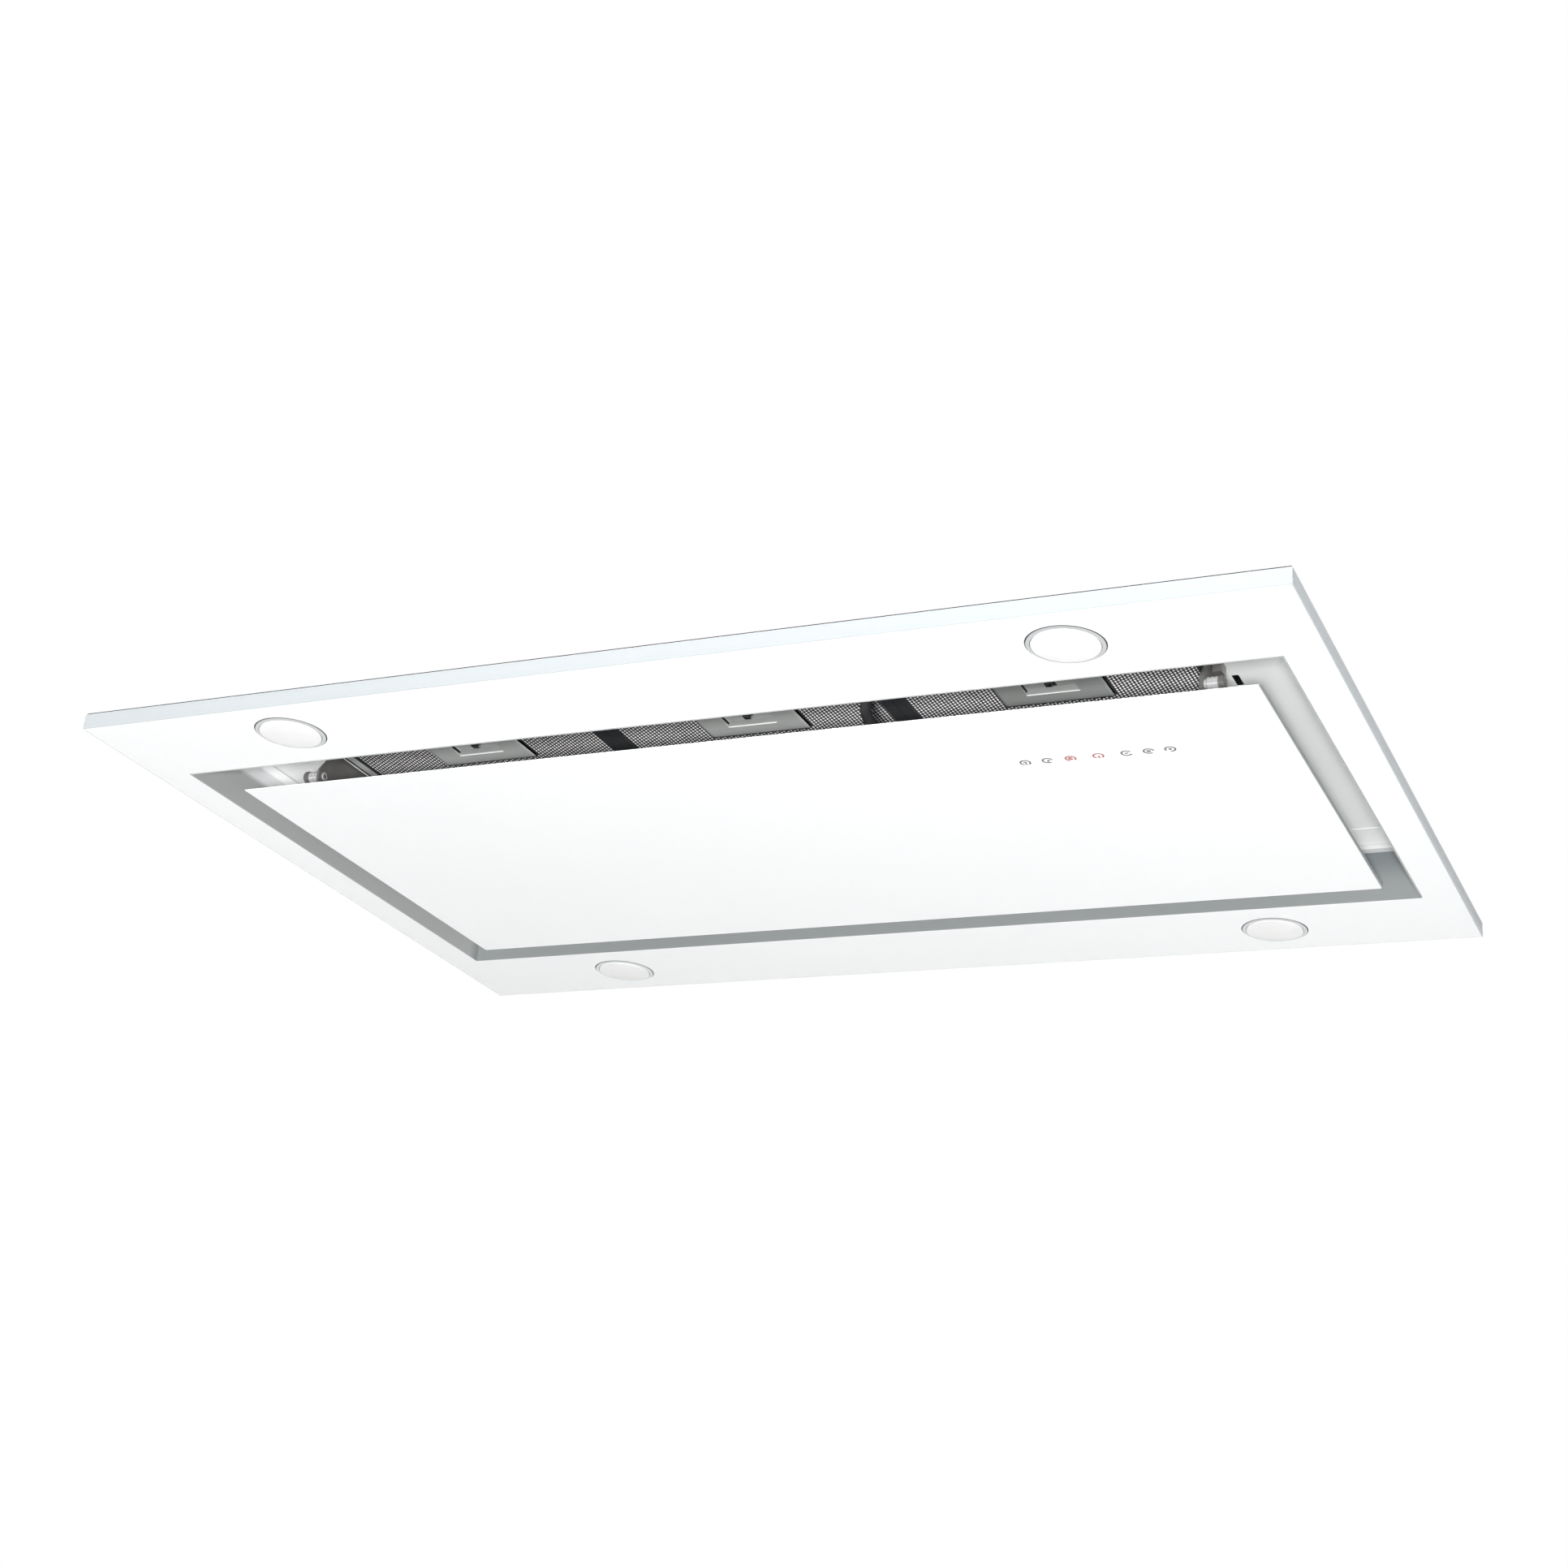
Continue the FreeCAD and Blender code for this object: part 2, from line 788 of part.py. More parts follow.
def make_lamp_springs():
    """Two leaf springs that clamp each lamp to the rim."""
    inner = s.barrel_outer + s.fit_gap
    low = rim_high
    high = frame_low + s.barrel_height + 3 * s.housing_fin
    foot_high = low + s.spring_sheet
    arms = []
    for tag, side in (("in", -1), ("out", 1)):
        near, far = s.lamp_x + side * inner, s.lamp_x + side * (inner + s.spring_sheet)
        tip = s.lamp_x + side * (inner + s.spring_reach)
        hook = s.lamp_x + side * s.fin_core
        width = span(s.spring_width, s.lamp_y)
        upright_leaf = block("spring_leaf_" + tag, sorted((near, far), key=float), width, (low, high))
        foot = block("spring_foot_" + tag, sorted((near, tip), key=float), width, (low, foot_high))
        hook_low = frame_low + s.barrel_height + s.housing_fin
        hook_high = hook_low + s.spring_sheet
        catch = block("spring_catch_" + tag, sorted((hook, far), key=float), width, (hook_low, hook_high))
        arms.append(fuse("lamp_spring_" + tag, upright_leaf, foot, catch))
    keep(four("lamp_springs", group("lamp_spring", *arms)))


# ---- panel ----


def make_panel_glass():
    """The glass panel that hides the filters."""
    body = new_body("panel_glass")
    drawing = new_sketch(body, "panel_outline")
    draw_rectangle(drawing, span(panel_width), span(panel_depth))
    plate = pad(body, drawing, "panel_pad", s.panel_glass)
    round_edges(body, plate, "panel_corners", s.panel_corner, upright)
    keep(body)


def make_panel_tray():
    """The steel tray bonded to the glass, with a window for the touch board."""
    width = panel_width - 2 * s.tray_inset
    depth = panel_depth - 2 * s.tray_inset
    high = s.panel_glass + s.tray_height
    whole = block("tray_whole", span(width), span(depth), (s.panel_glass, high))
    inside = block("tray_inside", span(width - 2 * s.sheet), span(depth - 2 * s.sheet), (tray_floor, high))
    window = block(
        "tray_window",
        span(s.touch_width - 2 * s.touch_wall, s.touch_x),
        span(s.touch_depth - 2 * s.touch_wall, s.touch_y),
        (s.panel_glass, tray_floor),
    )
    keep(cut("panel_tray", whole, inside, window))


def make_control_unit():
    """The touch board on the back of the glass, under its moulded cover."""
    high = tray_floor + s.touch_height
    whole = block(
        "control_whole", span(s.touch_width, s.touch_x), span(s.touch_depth, s.touch_y), (tray_floor, high)
    )
    inside = block(
        "control_inside",
        span(s.touch_width - 2 * s.touch_wall, s.touch_x),
        span(s.touch_depth - 2 * s.touch_wall, s.touch_y),
        (tray_floor, high - s.touch_wall),
    )
    left = s.touch_x - s.touch_width / 2
    lead_z = tray_floor + s.lead_radius + 1
    exit_hole = rod_x("control_exit", s.lead_radius + s.fit_gap, (left, left + s.touch_wall), s.touch_y, lead_z)
    keep(cut("control_cover", whole, inside, exit_hole))
    board_high = s.panel_glass + s.touch_board
    board = block(
        "touch_plate",
        span(s.touch_width - 2 * s.touch_wall - 2 * s.fit_gap, s.touch_x),
        span(s.touch_depth - 2 * s.touch_wall - 2 * s.fit_gap, s.touch_y),
        (s.panel_glass, board_high),
    )
    chip = block("touch_chip", span(14, s.touch_x), span(14, s.touch_y), (board_high, board_high + 1.5))
    plug_x = left + s.touch_wall + 16
    plug = block("touch_plug", span(10, plug_x), span(16, s.touch_y), (board_high, board_high + 5.5))
    lead_end = rod_x("touch_lead_end", s.lead_radius + s.fit_gap, (left, plug_x), s.touch_y, lead_z)
    keep(cut("touch_board", fuse("touch_whole", board, chip, plug), lead_end))


# ---- hinges and catches of the panel ----


def make_hinges():
    """Two hinges: a steel ear on the recess plate, a pin, and a chromed leaf on the panel's tray."""
    ear_x = (s.ear_x, s.ear_x + s.ear_sheet)
    far_y = axis_y + s.ear_far
    outline = [
        (axis_y - s.ear_radius, axis_z),
        (axis_y + s.ear_near, axis_z + s.ear_shoulder),
        (axis_y + s.ear_near, ceiling),
        (far_y, ceiling),
        (far_y, axis_z + s.ear_shoulder),
        (axis_y + s.ear_radius, axis_z),
    ]
    plate = profile_part("ear_plate", outline, ear_x)
    eye = rod_x("ear_eye", s.ear_radius, ear_x, axis_y, axis_z)
    foot = block(
        "ear_foot",
        (ear_x[1], ear_x[1] + s.foot_length),
        (far_y - s.foot_depth, far_y),
        (ceiling - s.foot_height, ceiling),
    )
    bore = rod_x("ear_bore", s.pin_radius + s.running_gap, ear_x, axis_y, axis_z)
    ear = cut("hinge_ear", fuse("ear_whole", plate, eye, foot), bore)
    keep(pair("hinge_ears", ear))

    barrel_x = (s.barrel_x, s.barrel_x + s.barrel_length)
    pin_x = (ear_x[0] - 1, barrel_x[1] + s.running_gap)
    shank = rod_x("pin_shank", s.pin_radius, pin_x, axis_y, axis_z)
    head = rod_x("pin_head", s.head_radius, (pin_x[1], pin_x[1] + s.head_length), axis_y, axis_z)
    keep(pair("hinge_pins", fuse("hinge_pin", shank, head)))

    barrel = rod_x("leaf_barrel", s.barrel_radius, barrel_x, axis_y, axis_z)
    web = block("leaf_web", barrel_x, span(s.leaf_sheet, axis_y), (tray_floor, axis_z))
    base = block(
        "leaf_base",
        barrel_x,
        (axis_y - s.barrel_radius, axis_y - s.barrel_radius + s.leaf_length),
        (tray_floor, tray_floor + s.leaf_sheet),
    )
    hole = rod_x("leaf_hole", s.pin_radius + s.running_gap, barrel_x, axis_y, axis_z)
    keep(pair("hinge_leaves", cut("hinge_leaf", fuse("leaf_whole", barrel, web, base), hole)))


def make_catches():
    """Magnets on posts under the recess plate, over steel strikes on the panel's tray."""
    width = span(s.catch_width, s.catch_x)
    depth = span(s.catch_depth, s.catch_y)
    magnet_high = s.catch_rise + s.magnet_height
    keep(pair("strike_plates", block("strike_plate", width, depth, (tray_floor, s.catch_rise))))
    keep(pair("catch_magnets", block("catch_magnet", width, depth, (s.catch_rise, magnet_high))))
    post = block("catch_column", span(s.catch_width / 2, s.catch_x), depth, (magnet_high, ceiling))
    cap = block("catch_cap", width, depth, (magnet_high, magnet_high + s.leaf_sheet))
    foot = block("catch_foot", width, depth, (ceiling - s.leaf_sheet, ceiling))
    keep(pair("catch_posts", fuse("catch_post", post, cap, foot)))


# ---- grease filters ----


def make_filter_supports():
    """The rail that carries the filters' tabs, and the spring keepers over their bolts."""
    rail_y = (bay_y, bay_y + s.rail_depth)
    rail_z = (ceiling_high, ceiling + s.tab_rise)
    keep(block("far_rail", span(2 * bay_x), rail_y, rail_z))

    lip_high = bolt_low
    back = -1 * bay_y - s.notch_depth - 1
    keepers = []
    for number, x in filter_spots:
        outline = [
            (back - s.keeper_foot, ceiling_high),
            (back, ceiling_high),
            (back, lip_high - s.keeper_sheet),
            (-1 * bay_y - 1, lip_high - s.keeper_sheet),
            (-1 * bay_y - 1, lip_high),
            (back - s.keeper_sheet, lip_high),
            (back - s.keeper_sheet, ceiling_high + s.keeper_sheet),
            (back - s.keeper_foot, ceiling_high + s.keeper_sheet),
        ]
        keepers.append(profile_part("keeper_" + number, outline, span(s.keeper_width, x)))
    keep(group("filter_keepers", *keepers))


def make_filters():
    """One filter cassette at the middle, and its three places side by side.

    A cassette has a frame with tabs at the far end, three layers of mesh in the frame's groove, a
    handle plate with a finger pocket, and a sprung latch."""
    width = s.filter_pitch - s.filter_gap
    window_x = span(width - 2 * s.filter_rail)
    groove_x = span(width - 2 * s.filter_rail + 2 * s.filter_groove)
    window_length = s.filter_length - 2 * s.filter_rail
    groove_length = window_length + 2 * s.filter_groove
    high = ceiling + s.filter_height
    groove_z = (ceiling + s.filter_lip, high - s.filter_lip)

    whole = block("frame_whole", span(width), span(s.filter_length), (ceiling, high))
    window = block("frame_window", window_x, span(window_length), (ceiling, high))
    groove = block("frame_groove", groove_x, span(groove_length), groove_z)
    bolt_slot = block(
        "frame_slot",
        span(s.bolt_width + 2 * s.latch_gap),
        (filter_near, filter_near + s.filter_rail),
        (bolt_low - s.latch_gap, bolt_high + s.latch_gap),
    )
    ring = cut("frame_ring", whole, window, groove, bolt_slot)
    tab_low = ceiling + s.tab_rise
    tabs = [
        block(
            f"frame_tab_{index}",
            span(s.tab_width, side * s.tab_x),
            (s.filter_length / 2, s.filter_length / 2 + s.tab_reach),
            (tab_low, tab_low + s.tab_height),
        )
        for index, side in enumerate(sign)
    ]
    frame = fuse("frame_piece", ring, *tabs)

    # the middle layer is folded into waves, whose crests touch the flat layers above and below
    lower = block("mesh_lower", groove_x, span(groove_length), (groove_z[0], groove_z[0] + s.mesh_sheet))
    upper = block("mesh_upper", groove_x, span(groove_length), (groove_z[1] - s.mesh_sheet, groove_z[1]))
    trough = groove_z[0] + s.mesh_sheet
    crest = groove_z[1] - 2 * s.mesh_sheet
    step = (groove_x[1] - groove_x[0]) / s.wave_count
    wave = []
    for index in range(int(s.wave_count.value)):
        middle = groove_x[0] + (index + 0.5) * step
        level = crest if index % 2 else trough
        wave += [(middle - s.wave_flat / 2, level), (middle + s.wave_flat / 2, level)]
    layer = new_body("mesh_waves", y=groove_length / 2)
    drawing = new_sketch(layer, "mesh_wave_profile", "XZ_Plane")
    draw_outline(drawing, wave + [(x, z + s.mesh_sheet) for x, z in reversed(wave)])
    pad(layer, drawing, "mesh_wave_pad", groove_length)
    seat = block(
        "mesh_seat",
        span(s.handle_width + 2 * s.fit_gap),
        (filter_near, filter_near + s.filter_rail + s.handle_depth + s.fit_gap),
        groove_z,
    )
    layers = [cut(f"mesh_layer_{index}", piece, seat) for index, piece in enumerate((lower, layer, upper))]
    mesh = group("mesh_piece", *layers)

    handle_y = (filter_near + s.filter_rail, filter_near + s.filter_rail + s.handle_depth)
    pocket_y = (filter_near + s.pocket_inset, filter_near + s.pocket_inset + s.pocket_depth)
    finger_y = (pocket_y[0] + 1, pocket_y[0] + 1 + s.finger_depth)
    plate = block("handle_plate", span(s.handle_width), handle_y, (ceiling, high - s.filter_lip))
    grip = block("handle_pocket", span(s.pocket_width), pocket_y, (ceiling, bolt_low - s.latch_gap))
    channel = block(
        "handle_channel",
        span(s.bolt_width + 2 * s.latch_gap),
        (handle_y[0], finger_y[1] + s.latch_travel + s.latch_gap),
        (bolt_low - s.latch_gap, bolt_high + s.latch_gap),
    )
    handle = cut("handle_piece", plate, grip, channel)

    bolt = block("latch_bolt", span(s.bolt_width), (filter_near - s.bolt_reach, finger_y[1]), (bolt_low, bolt_high))
    finger = block("latch_finger", span(s.bolt_width), finger_y, (ceiling + 1, bolt_low))
    latch = fuse("latch_piece", bolt, finger)

    for number, x in filter_spots:
        for kind, piece in (("frame", frame), ("mesh", mesh), ("handle", handle), ("latch", latch)):
            keep(move(group(f"filter_{kind}_{number}", piece), x))


# ---- body box and blower housing ----


def make_base_box():
    """The galvanised body box that the fascia hangs from."""
    foot_z = (rim_high, rim_high + s.sheet)
    walls = block("box_walls", span(s.box_width), span(s.box_depth), (rim_high, box_high))
    flange = block("box_end_flange", span(s.box_width + 2 * s.box_flange), span(s.box_depth), foot_z)
    inside = block(
        "box_inside",
        span(s.box_width - 2 * s.sheet),
        span(s.box_depth - 2 * s.sheet),
        (rim_high, box_high - s.sheet),
    )
    tabs = [
        block(f"box_tab_{index}", span(s.box_tab), span(s.box_flange + s.sheet, side * box_tab_y), foot_z)
        for index, side in enumerate(sign)
    ]
    shell = fuse("box_whole", cut("box_shell", fuse("box_outside", walls, flange), inside), *tabs)
    top = (box_high - s.sheet, box_high)
    mouth = block(
        "box_mouth",
        span(s.housing_width - 2 * s.housing_mouth),
        span(s.housing_depth - 2 * s.housing_mouth),
        top,
    )
    lead_hole = rod("box_lead_hole", 2 * s.lead_radius, top, lead_rise[0], lead_rise[1])
    holes = pilot_holes("box_foot_hole", flange_spots, foot_z) + pilot_holes("box_top_hole", housing_spots, top)
    keep(cut("base_box", shell, mouth, lead_hole, *holes))


def make_housing():
    """The blower housing on the body box, and its lid."""
    foot_z = (box_high, box_high + s.sheet)
    walls = block("housing_walls", span(s.housing_width), span(s.housing_depth), (box_high, housing_high))
    flange = block(
        "housing_flange_plate",
        span(s.housing_width + 2 * s.housing_flange),
        span(s.housing_depth + 2 * s.housing_flange),
        foot_z,
    )
    inside = block(
        "housing_inside",
        span(s.housing_width - 2 * s.sheet),
        span(s.housing_depth - 2 * s.sheet),
        (box_high, housing_high - s.sheet),
    )
    ledge = (housing_high - s.sheet, housing_high)
    mouth = block(
        "housing_mouth_cut",
        span(s.housing_width - 2 * s.housing_ledge),
        span(s.housing_depth - 2 * s.housing_ledge),
        ledge,
    )
    outlet = rod_y(
        "housing_outlet",
        s.collar_radius - s.collar_wall,
        (housing_rear - s.sheet, housing_rear),
        s.outlet_x,
        outlet_z,
    )
    holes = pilot_holes("housing_foot_hole", housing_spots, foot_z) + pilot_holes("housing_lid_hole", lid_spots, ledge)
    keep(cut("motor_housing", fuse("housing_whole", walls, flange), inside, mouth, outlet, *holes))

    lid_z = (housing_high, housing_high + s.sheet)
    plate = block("lid_plate", span(s.housing_width), span(s.housing_depth), lid_z)
    keep(cut("housing_lid", plate, *pilot_holes("lid_hole", lid_spots, lid_z)))


# ---- blower ----


def scroll_outline(inset, reach):
    """The spiral casing's outline: four quarter turns that grow by one step each, then the mouth.

    Each arc's centre moves by a step, so that the arcs join smoothly; inset moves the whole outline
    inwards by a wall, and reach is how far the mouth runs from the blower's axis."""
    step = float(s.scroll_step)
    start = float(s.scroll_start)
    centres = [(0, 0), (0, -step), (step, -step), (step, 0)]
    radii = [start + step * quarter - inset for quarter in range(4)]
    right = centres[3][0] + radii[3]
    inner = step + start + 3 * step - float(s.scroll_mouth) + inset
    tongue = math.acos(inner / radii[0])
    edges = []
    for quarter, (centre, radius) in enumerate(zip(centres, radii)):
        begin = tongue if quarter == 0 else quarter * math.pi / 2
        end = (quarter + 1) * math.pi / 2
        points = [
            FreeCAD.Vector(centre[0] + radius * math.cos(angle), centre[1] + radius * math.sin(angle), 0)
            for angle in (begin, (begin + end) / 2, end)
        ]
        edges.append(Part.Arc(*points).toShape())
    mouth = [(right, 0), (right, reach), (inner, reach), (inner, radii[0] * math.sin(tongue))]
    for start_point, end_point in zip(mouth, mouth[1:]):
        edges.append(Part.makeLine(FreeCAD.Vector(*start_point, 0), FreeCAD.Vector(*end_point, 0)))
    return Part.Wire(Part.__sortEdges__(edges))


def make_scroll():
    """The two halves of the blower's spiral casing."""
    wall = float(s.scroll_wall)
    reach = float(s.scroll_reach)
    half = float(s.scroll_height) / 2
    place = FreeCAD.Vector(float(s.blower_x), float(s.blower_y), float(scroll_low))
    for name, base, hole in (("scroll_lower", 0, s.inlet_radius), ("scroll_upper", half, s.motor_radius + s.motor_gap)):
        plate_at = 0 if name == "scroll_lower" else 2 * half - wall
        hollow_at = wall if name == "scroll_lower" else half
        shell = Part.Face(scroll_outline(0, reach)).extrude(FreeCAD.Vector(0, 0, half))
        shell.translate(FreeCAD.Vector(0, 0, base))
        hollow = Part.Face(scroll_outline(wall, reach + 1)).extrude(FreeCAD.Vector(0, 0, half - wall))
        hollow.translate(FreeCAD.Vector(0, 0, hollow_at))
        opening = Part.makeCylinder(float(hole), wall, FreeCAD.Vector(0, 0, plate_at))
        item = shape_part(name, shell.cut(hollow).cut(opening))
        item.Placement = FreeCAD.Placement(place, FreeCAD.Rotation())
        keep(item)


def make_blower_plate():
    """The plate over the body box's mouth, and the rolled inlet ring in it."""
    width = s.housing_width - 2 * s.sheet - 2 * s.fit_gap
    depth = s.housing_depth - 2 * s.sheet - 2 * s.fit_gap
    plate = block("plate_sheet_block", span(width), span(depth), (box_high, scroll_low))
    hole = rod("plate_inlet", s.inlet_radius, (box_high, scroll_low), s.blower_x, s.blower_y)
    keep(cut("blower_plate", plate, hole))
    outer = s.inlet_radius - s.running_gap
    profile = [
        (s.inlet_radius - s.scroll_wall - s.inlet_lip / 2, s.inlet_height),
        (s.inlet_radius - s.inlet_lip / 2, s.inlet_height),
        (outer, s.scroll_wall + s.plate_sheet),
        (outer, 0),
        (s.inlet_radius + s.inlet_lip, 0),
        (s.inlet_radius + s.inlet_lip, -1 * s.scroll_wall),
        (s.inlet_radius - s.scroll_wall, -1 * s.scroll_wall),
        (s.inlet_radius - s.scroll_wall, s.scroll_wall + s.plate_sheet),
    ]
    keep(turned_part("inlet_ring", profile, s.blower_x, s.blower_y, box_high))


impeller_low = scroll_low + s.impeller_rise
impeller_high = impeller_low + s.impeller_height


def make_impeller():
    """The centrifugal wheel: back plate, hub, rim ring and forward-curved blades."""
    body = new_body("impeller", s.blower_x, s.blower_y, impeller_low)
    plate_low = s.impeller_height - s.impeller_plate
    hub_low = s.impeller_height - s.hub_height
    bore = s.shaft_radius + s.running_gap
    plate = new_sketch(body, "impeller_plate_profile", "XZ_Plane")
    profile = [
        (bore, hub_low),
        (s.hub_radius, hub_low),
        (s.hub_radius, plate_low),
        (s.impeller_radius, plate_low),
        (s.impeller_radius, s.impeller_height),
        (bore, s.impeller_height),
    ]
    draw_outline(plate, profile)
    revolve(body, plate, "impeller_disc")
    # a blade leans forward from the inner edge of the ring to its outer edge
    blade = new_sketch(body, "impeller_blade")
    inner = s.impeller_radius - s.blade_chord
    outer = s.impeller_radius - s.impeller_plate
    lean = s.blade_chord / 2
    draw_outline(blade, [(inner, 0), (outer, lean), (outer, lean + s.blade_sheet), (inner, s.blade_sheet)])
    vane = pad(body, blade, "impeller_vane", plate_low + s.impeller_plate / 2)
    fan = body.newObject("PartDesign::PolarPattern", "impeller_vanes")
    fan.Originals = [vane]
    fan.Axis = (origin_item(body, "Z_Axis"), [""])
    fan.Angle = 360
    bind(fan, Occurrences=s.blade_count)
    body.Tip = fan
    ring = new_sketch(body, "impeller_ring")
    draw_circle(ring, 0, 0, s.impeller_radius)
    draw_circle(ring, 0, 0, s.impeller_radius - s.ring_width)
    pad(body, ring, "impeller_ring_pad", s.impeller_plate)
    keep(body)


bracket_low = scroll_high + s.damper_height
bracket_high = bracket_low + s.bracket_sheet
motor_low = bracket_high - s.motor_sunk


def make_motor():
    """The motor in its bracket on three rubber dampers, and its shaft."""
    flange_low = s.motor_sunk
    profile = [
        (s.shaft_radius + s.running_gap, 0),
        (14, 0),
        (s.motor_radius - 6, 3),
        (s.motor_radius, 9),
        (s.motor_radius, flange_low),
        (s.motor_radius + 4, flange_low),
        (s.motor_radius + 4, flange_low + s.motor_flange),
        (s.motor_radius, flange_low + s.motor_flange),
        (s.motor_radius, s.motor_height - 8),
        (s.motor_radius - 6, s.motor_height - 2),
        (16, s.motor_height),
        (0, s.motor_height),
        (0, s.shaft_entry + s.fit_gap),
        (s.shaft_radius + s.running_gap, s.shaft_entry + s.fit_gap),
    ]
    keep(turned_part("motor", profile, s.blower_x, s.blower_y, motor_low))

    shaft_low = impeller_high - s.hub_height
    keep(rod("motor_shaft", s.shaft_radius, (shaft_low, motor_low + s.shaft_entry), s.blower_x, s.blower_y))

    ring = rod("bracket_ring", s.motor_radius + s.bracket_ring, (bracket_low, bracket_high), s.blower_x, s.blower_y)
    arms = []
    dampers = []
    for index in range(3):
        angle = math.radians(90 + 120 * index)
        x = s.blower_x + s.damper_circle * round(math.cos(angle), 6)
        y = s.blower_y + s.damper_circle * round(math.sin(angle), 6)
        arms.append(rod(f"bracket_arm_{index}", s.damper_radius + 3, (bracket_low, bracket_high), x, y))
        dampers.append(rod(f"damper_{index}", s.damper_radius, (scroll_high, bracket_low), x, y))
    hole = rod(
        "bracket_hole", s.motor_radius + s.running_gap, (bracket_low, bracket_high), s.blower_x, s.blower_y
    )
    keep(cut("motor_bracket", fuse("bracket_whole", ring, *arms), hole))
    keep(group("motor_dampers", *dampers))

    can_high = scroll_low + s.capacitor_height
    can = rod("capacitor_can", s.capacitor_radius, (scroll_low, can_high), s.capacitor_x, s.capacitor_y)
    terminals = [
        block(
            f"capacitor_tag_{index}",
            span(6, s.capacitor_x + side * s.capacitor_radius / 2),
            span(1, s.capacitor_y),
            (can_high, can_high + 9),
        )
        for index, side in enumerate(sign)
    ]
    keep(fuse("motor_capacitor", can, *terminals))


# ---- outlet ----


def square_wire(x, z, y):
    """A rectangle in the XZ plane at y, from a corner at 45 degrees, in four edges."""
    points = [FreeCAD.Vector(x[i], y, z[k]) for i, k in ((1, 1), (0, 1), (0, 0), (1, 0))]
    return Part.Wire([Part.makeLine(a, b) for a, b in zip(points, points[1:] + points[:1])])


def round_wire(x, z, y, radius):
    """A circle in the XZ plane at y, in four arcs that start at 45 degrees."""

    def point(angle):
        turn = math.radians(angle)
        return FreeCAD.Vector(x + radius * math.cos(turn), y, z + radius * math.sin(turn))

    return Part.Wire([Part.Arc(point(a), point(a + 45), point(a + 90)).toShape() for a in (45, 135, 225, 315)])


def make_outlet():
    """The transition from the casing's square mouth to the round outlet, and the duct collar."""
    wall = float(s.scroll_wall)
    right = float(s.blower_x + s.scroll_start + 4 * s.scroll_step)
    x = (right - float(s.scroll_mouth), right)
    z = (float(scroll_low), float(scroll_high))
    start = float(s.blower_y + s.scroll_reach)
    end = float(housing_rear - s.sheet)
    centre = (float(s.outlet_x), float(outlet_z))
    radius = float(s.collar_radius - s.collar_wall)
    outer = Part.makeLoft([square_wire(x, z, start), round_wire(*centre, end, radius + wall)], True)
    inner_x = (x[0] + wall, x[1] - wall)
    inner_z = (z[0] + wall, z[1] - wall)
    inner = Part.makeLoft([square_wire(inner_x, inner_z, start), round_wire(*centre, end, radius)], True)
    keep(shape_part("outlet_transition", outer.cut(inner)))

    collar_y = (housing_rear, housing_rear + s.collar_length)
    tube = rod_y("collar_tube", s.collar_radius, collar_y, s.outlet_x, outlet_z)
    flange = rod_y("collar_lip", s.collar_flange, (housing_rear, housing_rear + s.collar_wall), s.outlet_x, outlet_z)
    bore = rod_y("collar_bore", s.collar_radius - s.collar_wall, collar_y, s.outlet_x, outlet_z)
    seat = rod(
        "collar_spindle_holes",
        s.spindle_radius + s.running_gap,
        (outlet_z - s.collar_radius, outlet_z + s.collar_radius),
        s.outlet_x,
        spindle_y,
    )
    keep(cut("outlet_collar", fuse("collar_whole", tube, flange), bore, seat))
    reach = s.collar_radius + s.fit_gap
    keep(rod("flap_spindle", s.spindle_radius, (outlet_z - reach, outlet_z + reach), s.outlet_x, spindle_y))


spindle_y = housing_rear + s.spindle_set


def make_flap(name, side):
    """Half of the backdraft damper: a half disc on knuckles round the spindle."""
    radius = s.collar_radius - s.collar_wall - s.flap_gap
    thickness = span(s.flap_sheet, spindle_y)
    disc = rod_y(name + "_disc", radius, thickness, s.outlet_x, outlet_z)
    knuckle = s.spindle_radius + s.running_gap + s.knuckle_wall
    edge = s.outlet_x + side * (knuckle + s.fit_gap)
    far = s.outlet_x + side * (radius + 1)
    height = (outlet_z - radius - 1, outlet_z + radius + 1)
    half = document.addObject("Part::Common", name + "_half")
    half.Base = disc
    half.Tool = block(name + "_side", sorted((edge, far), key=float), thickness, height)
    pieces = [half]
    bores = []
    # the left flap's knuckles sit below the right flap's
    for index, level in enumerate((-0.6, 0.4)):
        low = outlet_z + level * radius + (0 if side < 0 else s.knuckle_length + 1)
        span_z = (low, low + s.knuckle_length)
        pieces.append(rod(f"{name}_knuckle_{index}", knuckle, span_z, s.outlet_x, spindle_y))
        inner = s.outlet_x + side * s.spindle_radius
        outer = s.outlet_x + side * (knuckle + 2)
        pieces.append(block(f"{name}_strap_{index}", sorted((inner, outer), key=float), thickness, span_z))
        bores.append(rod(f"{name}_bore_{index}", s.spindle_radius + s.running_gap, span_z, s.outlet_x, spindle_y))
    keep(cut(name, fuse(name + "_whole", *pieces), *bores))


# ---- electronics, lamp driver, suspension ----


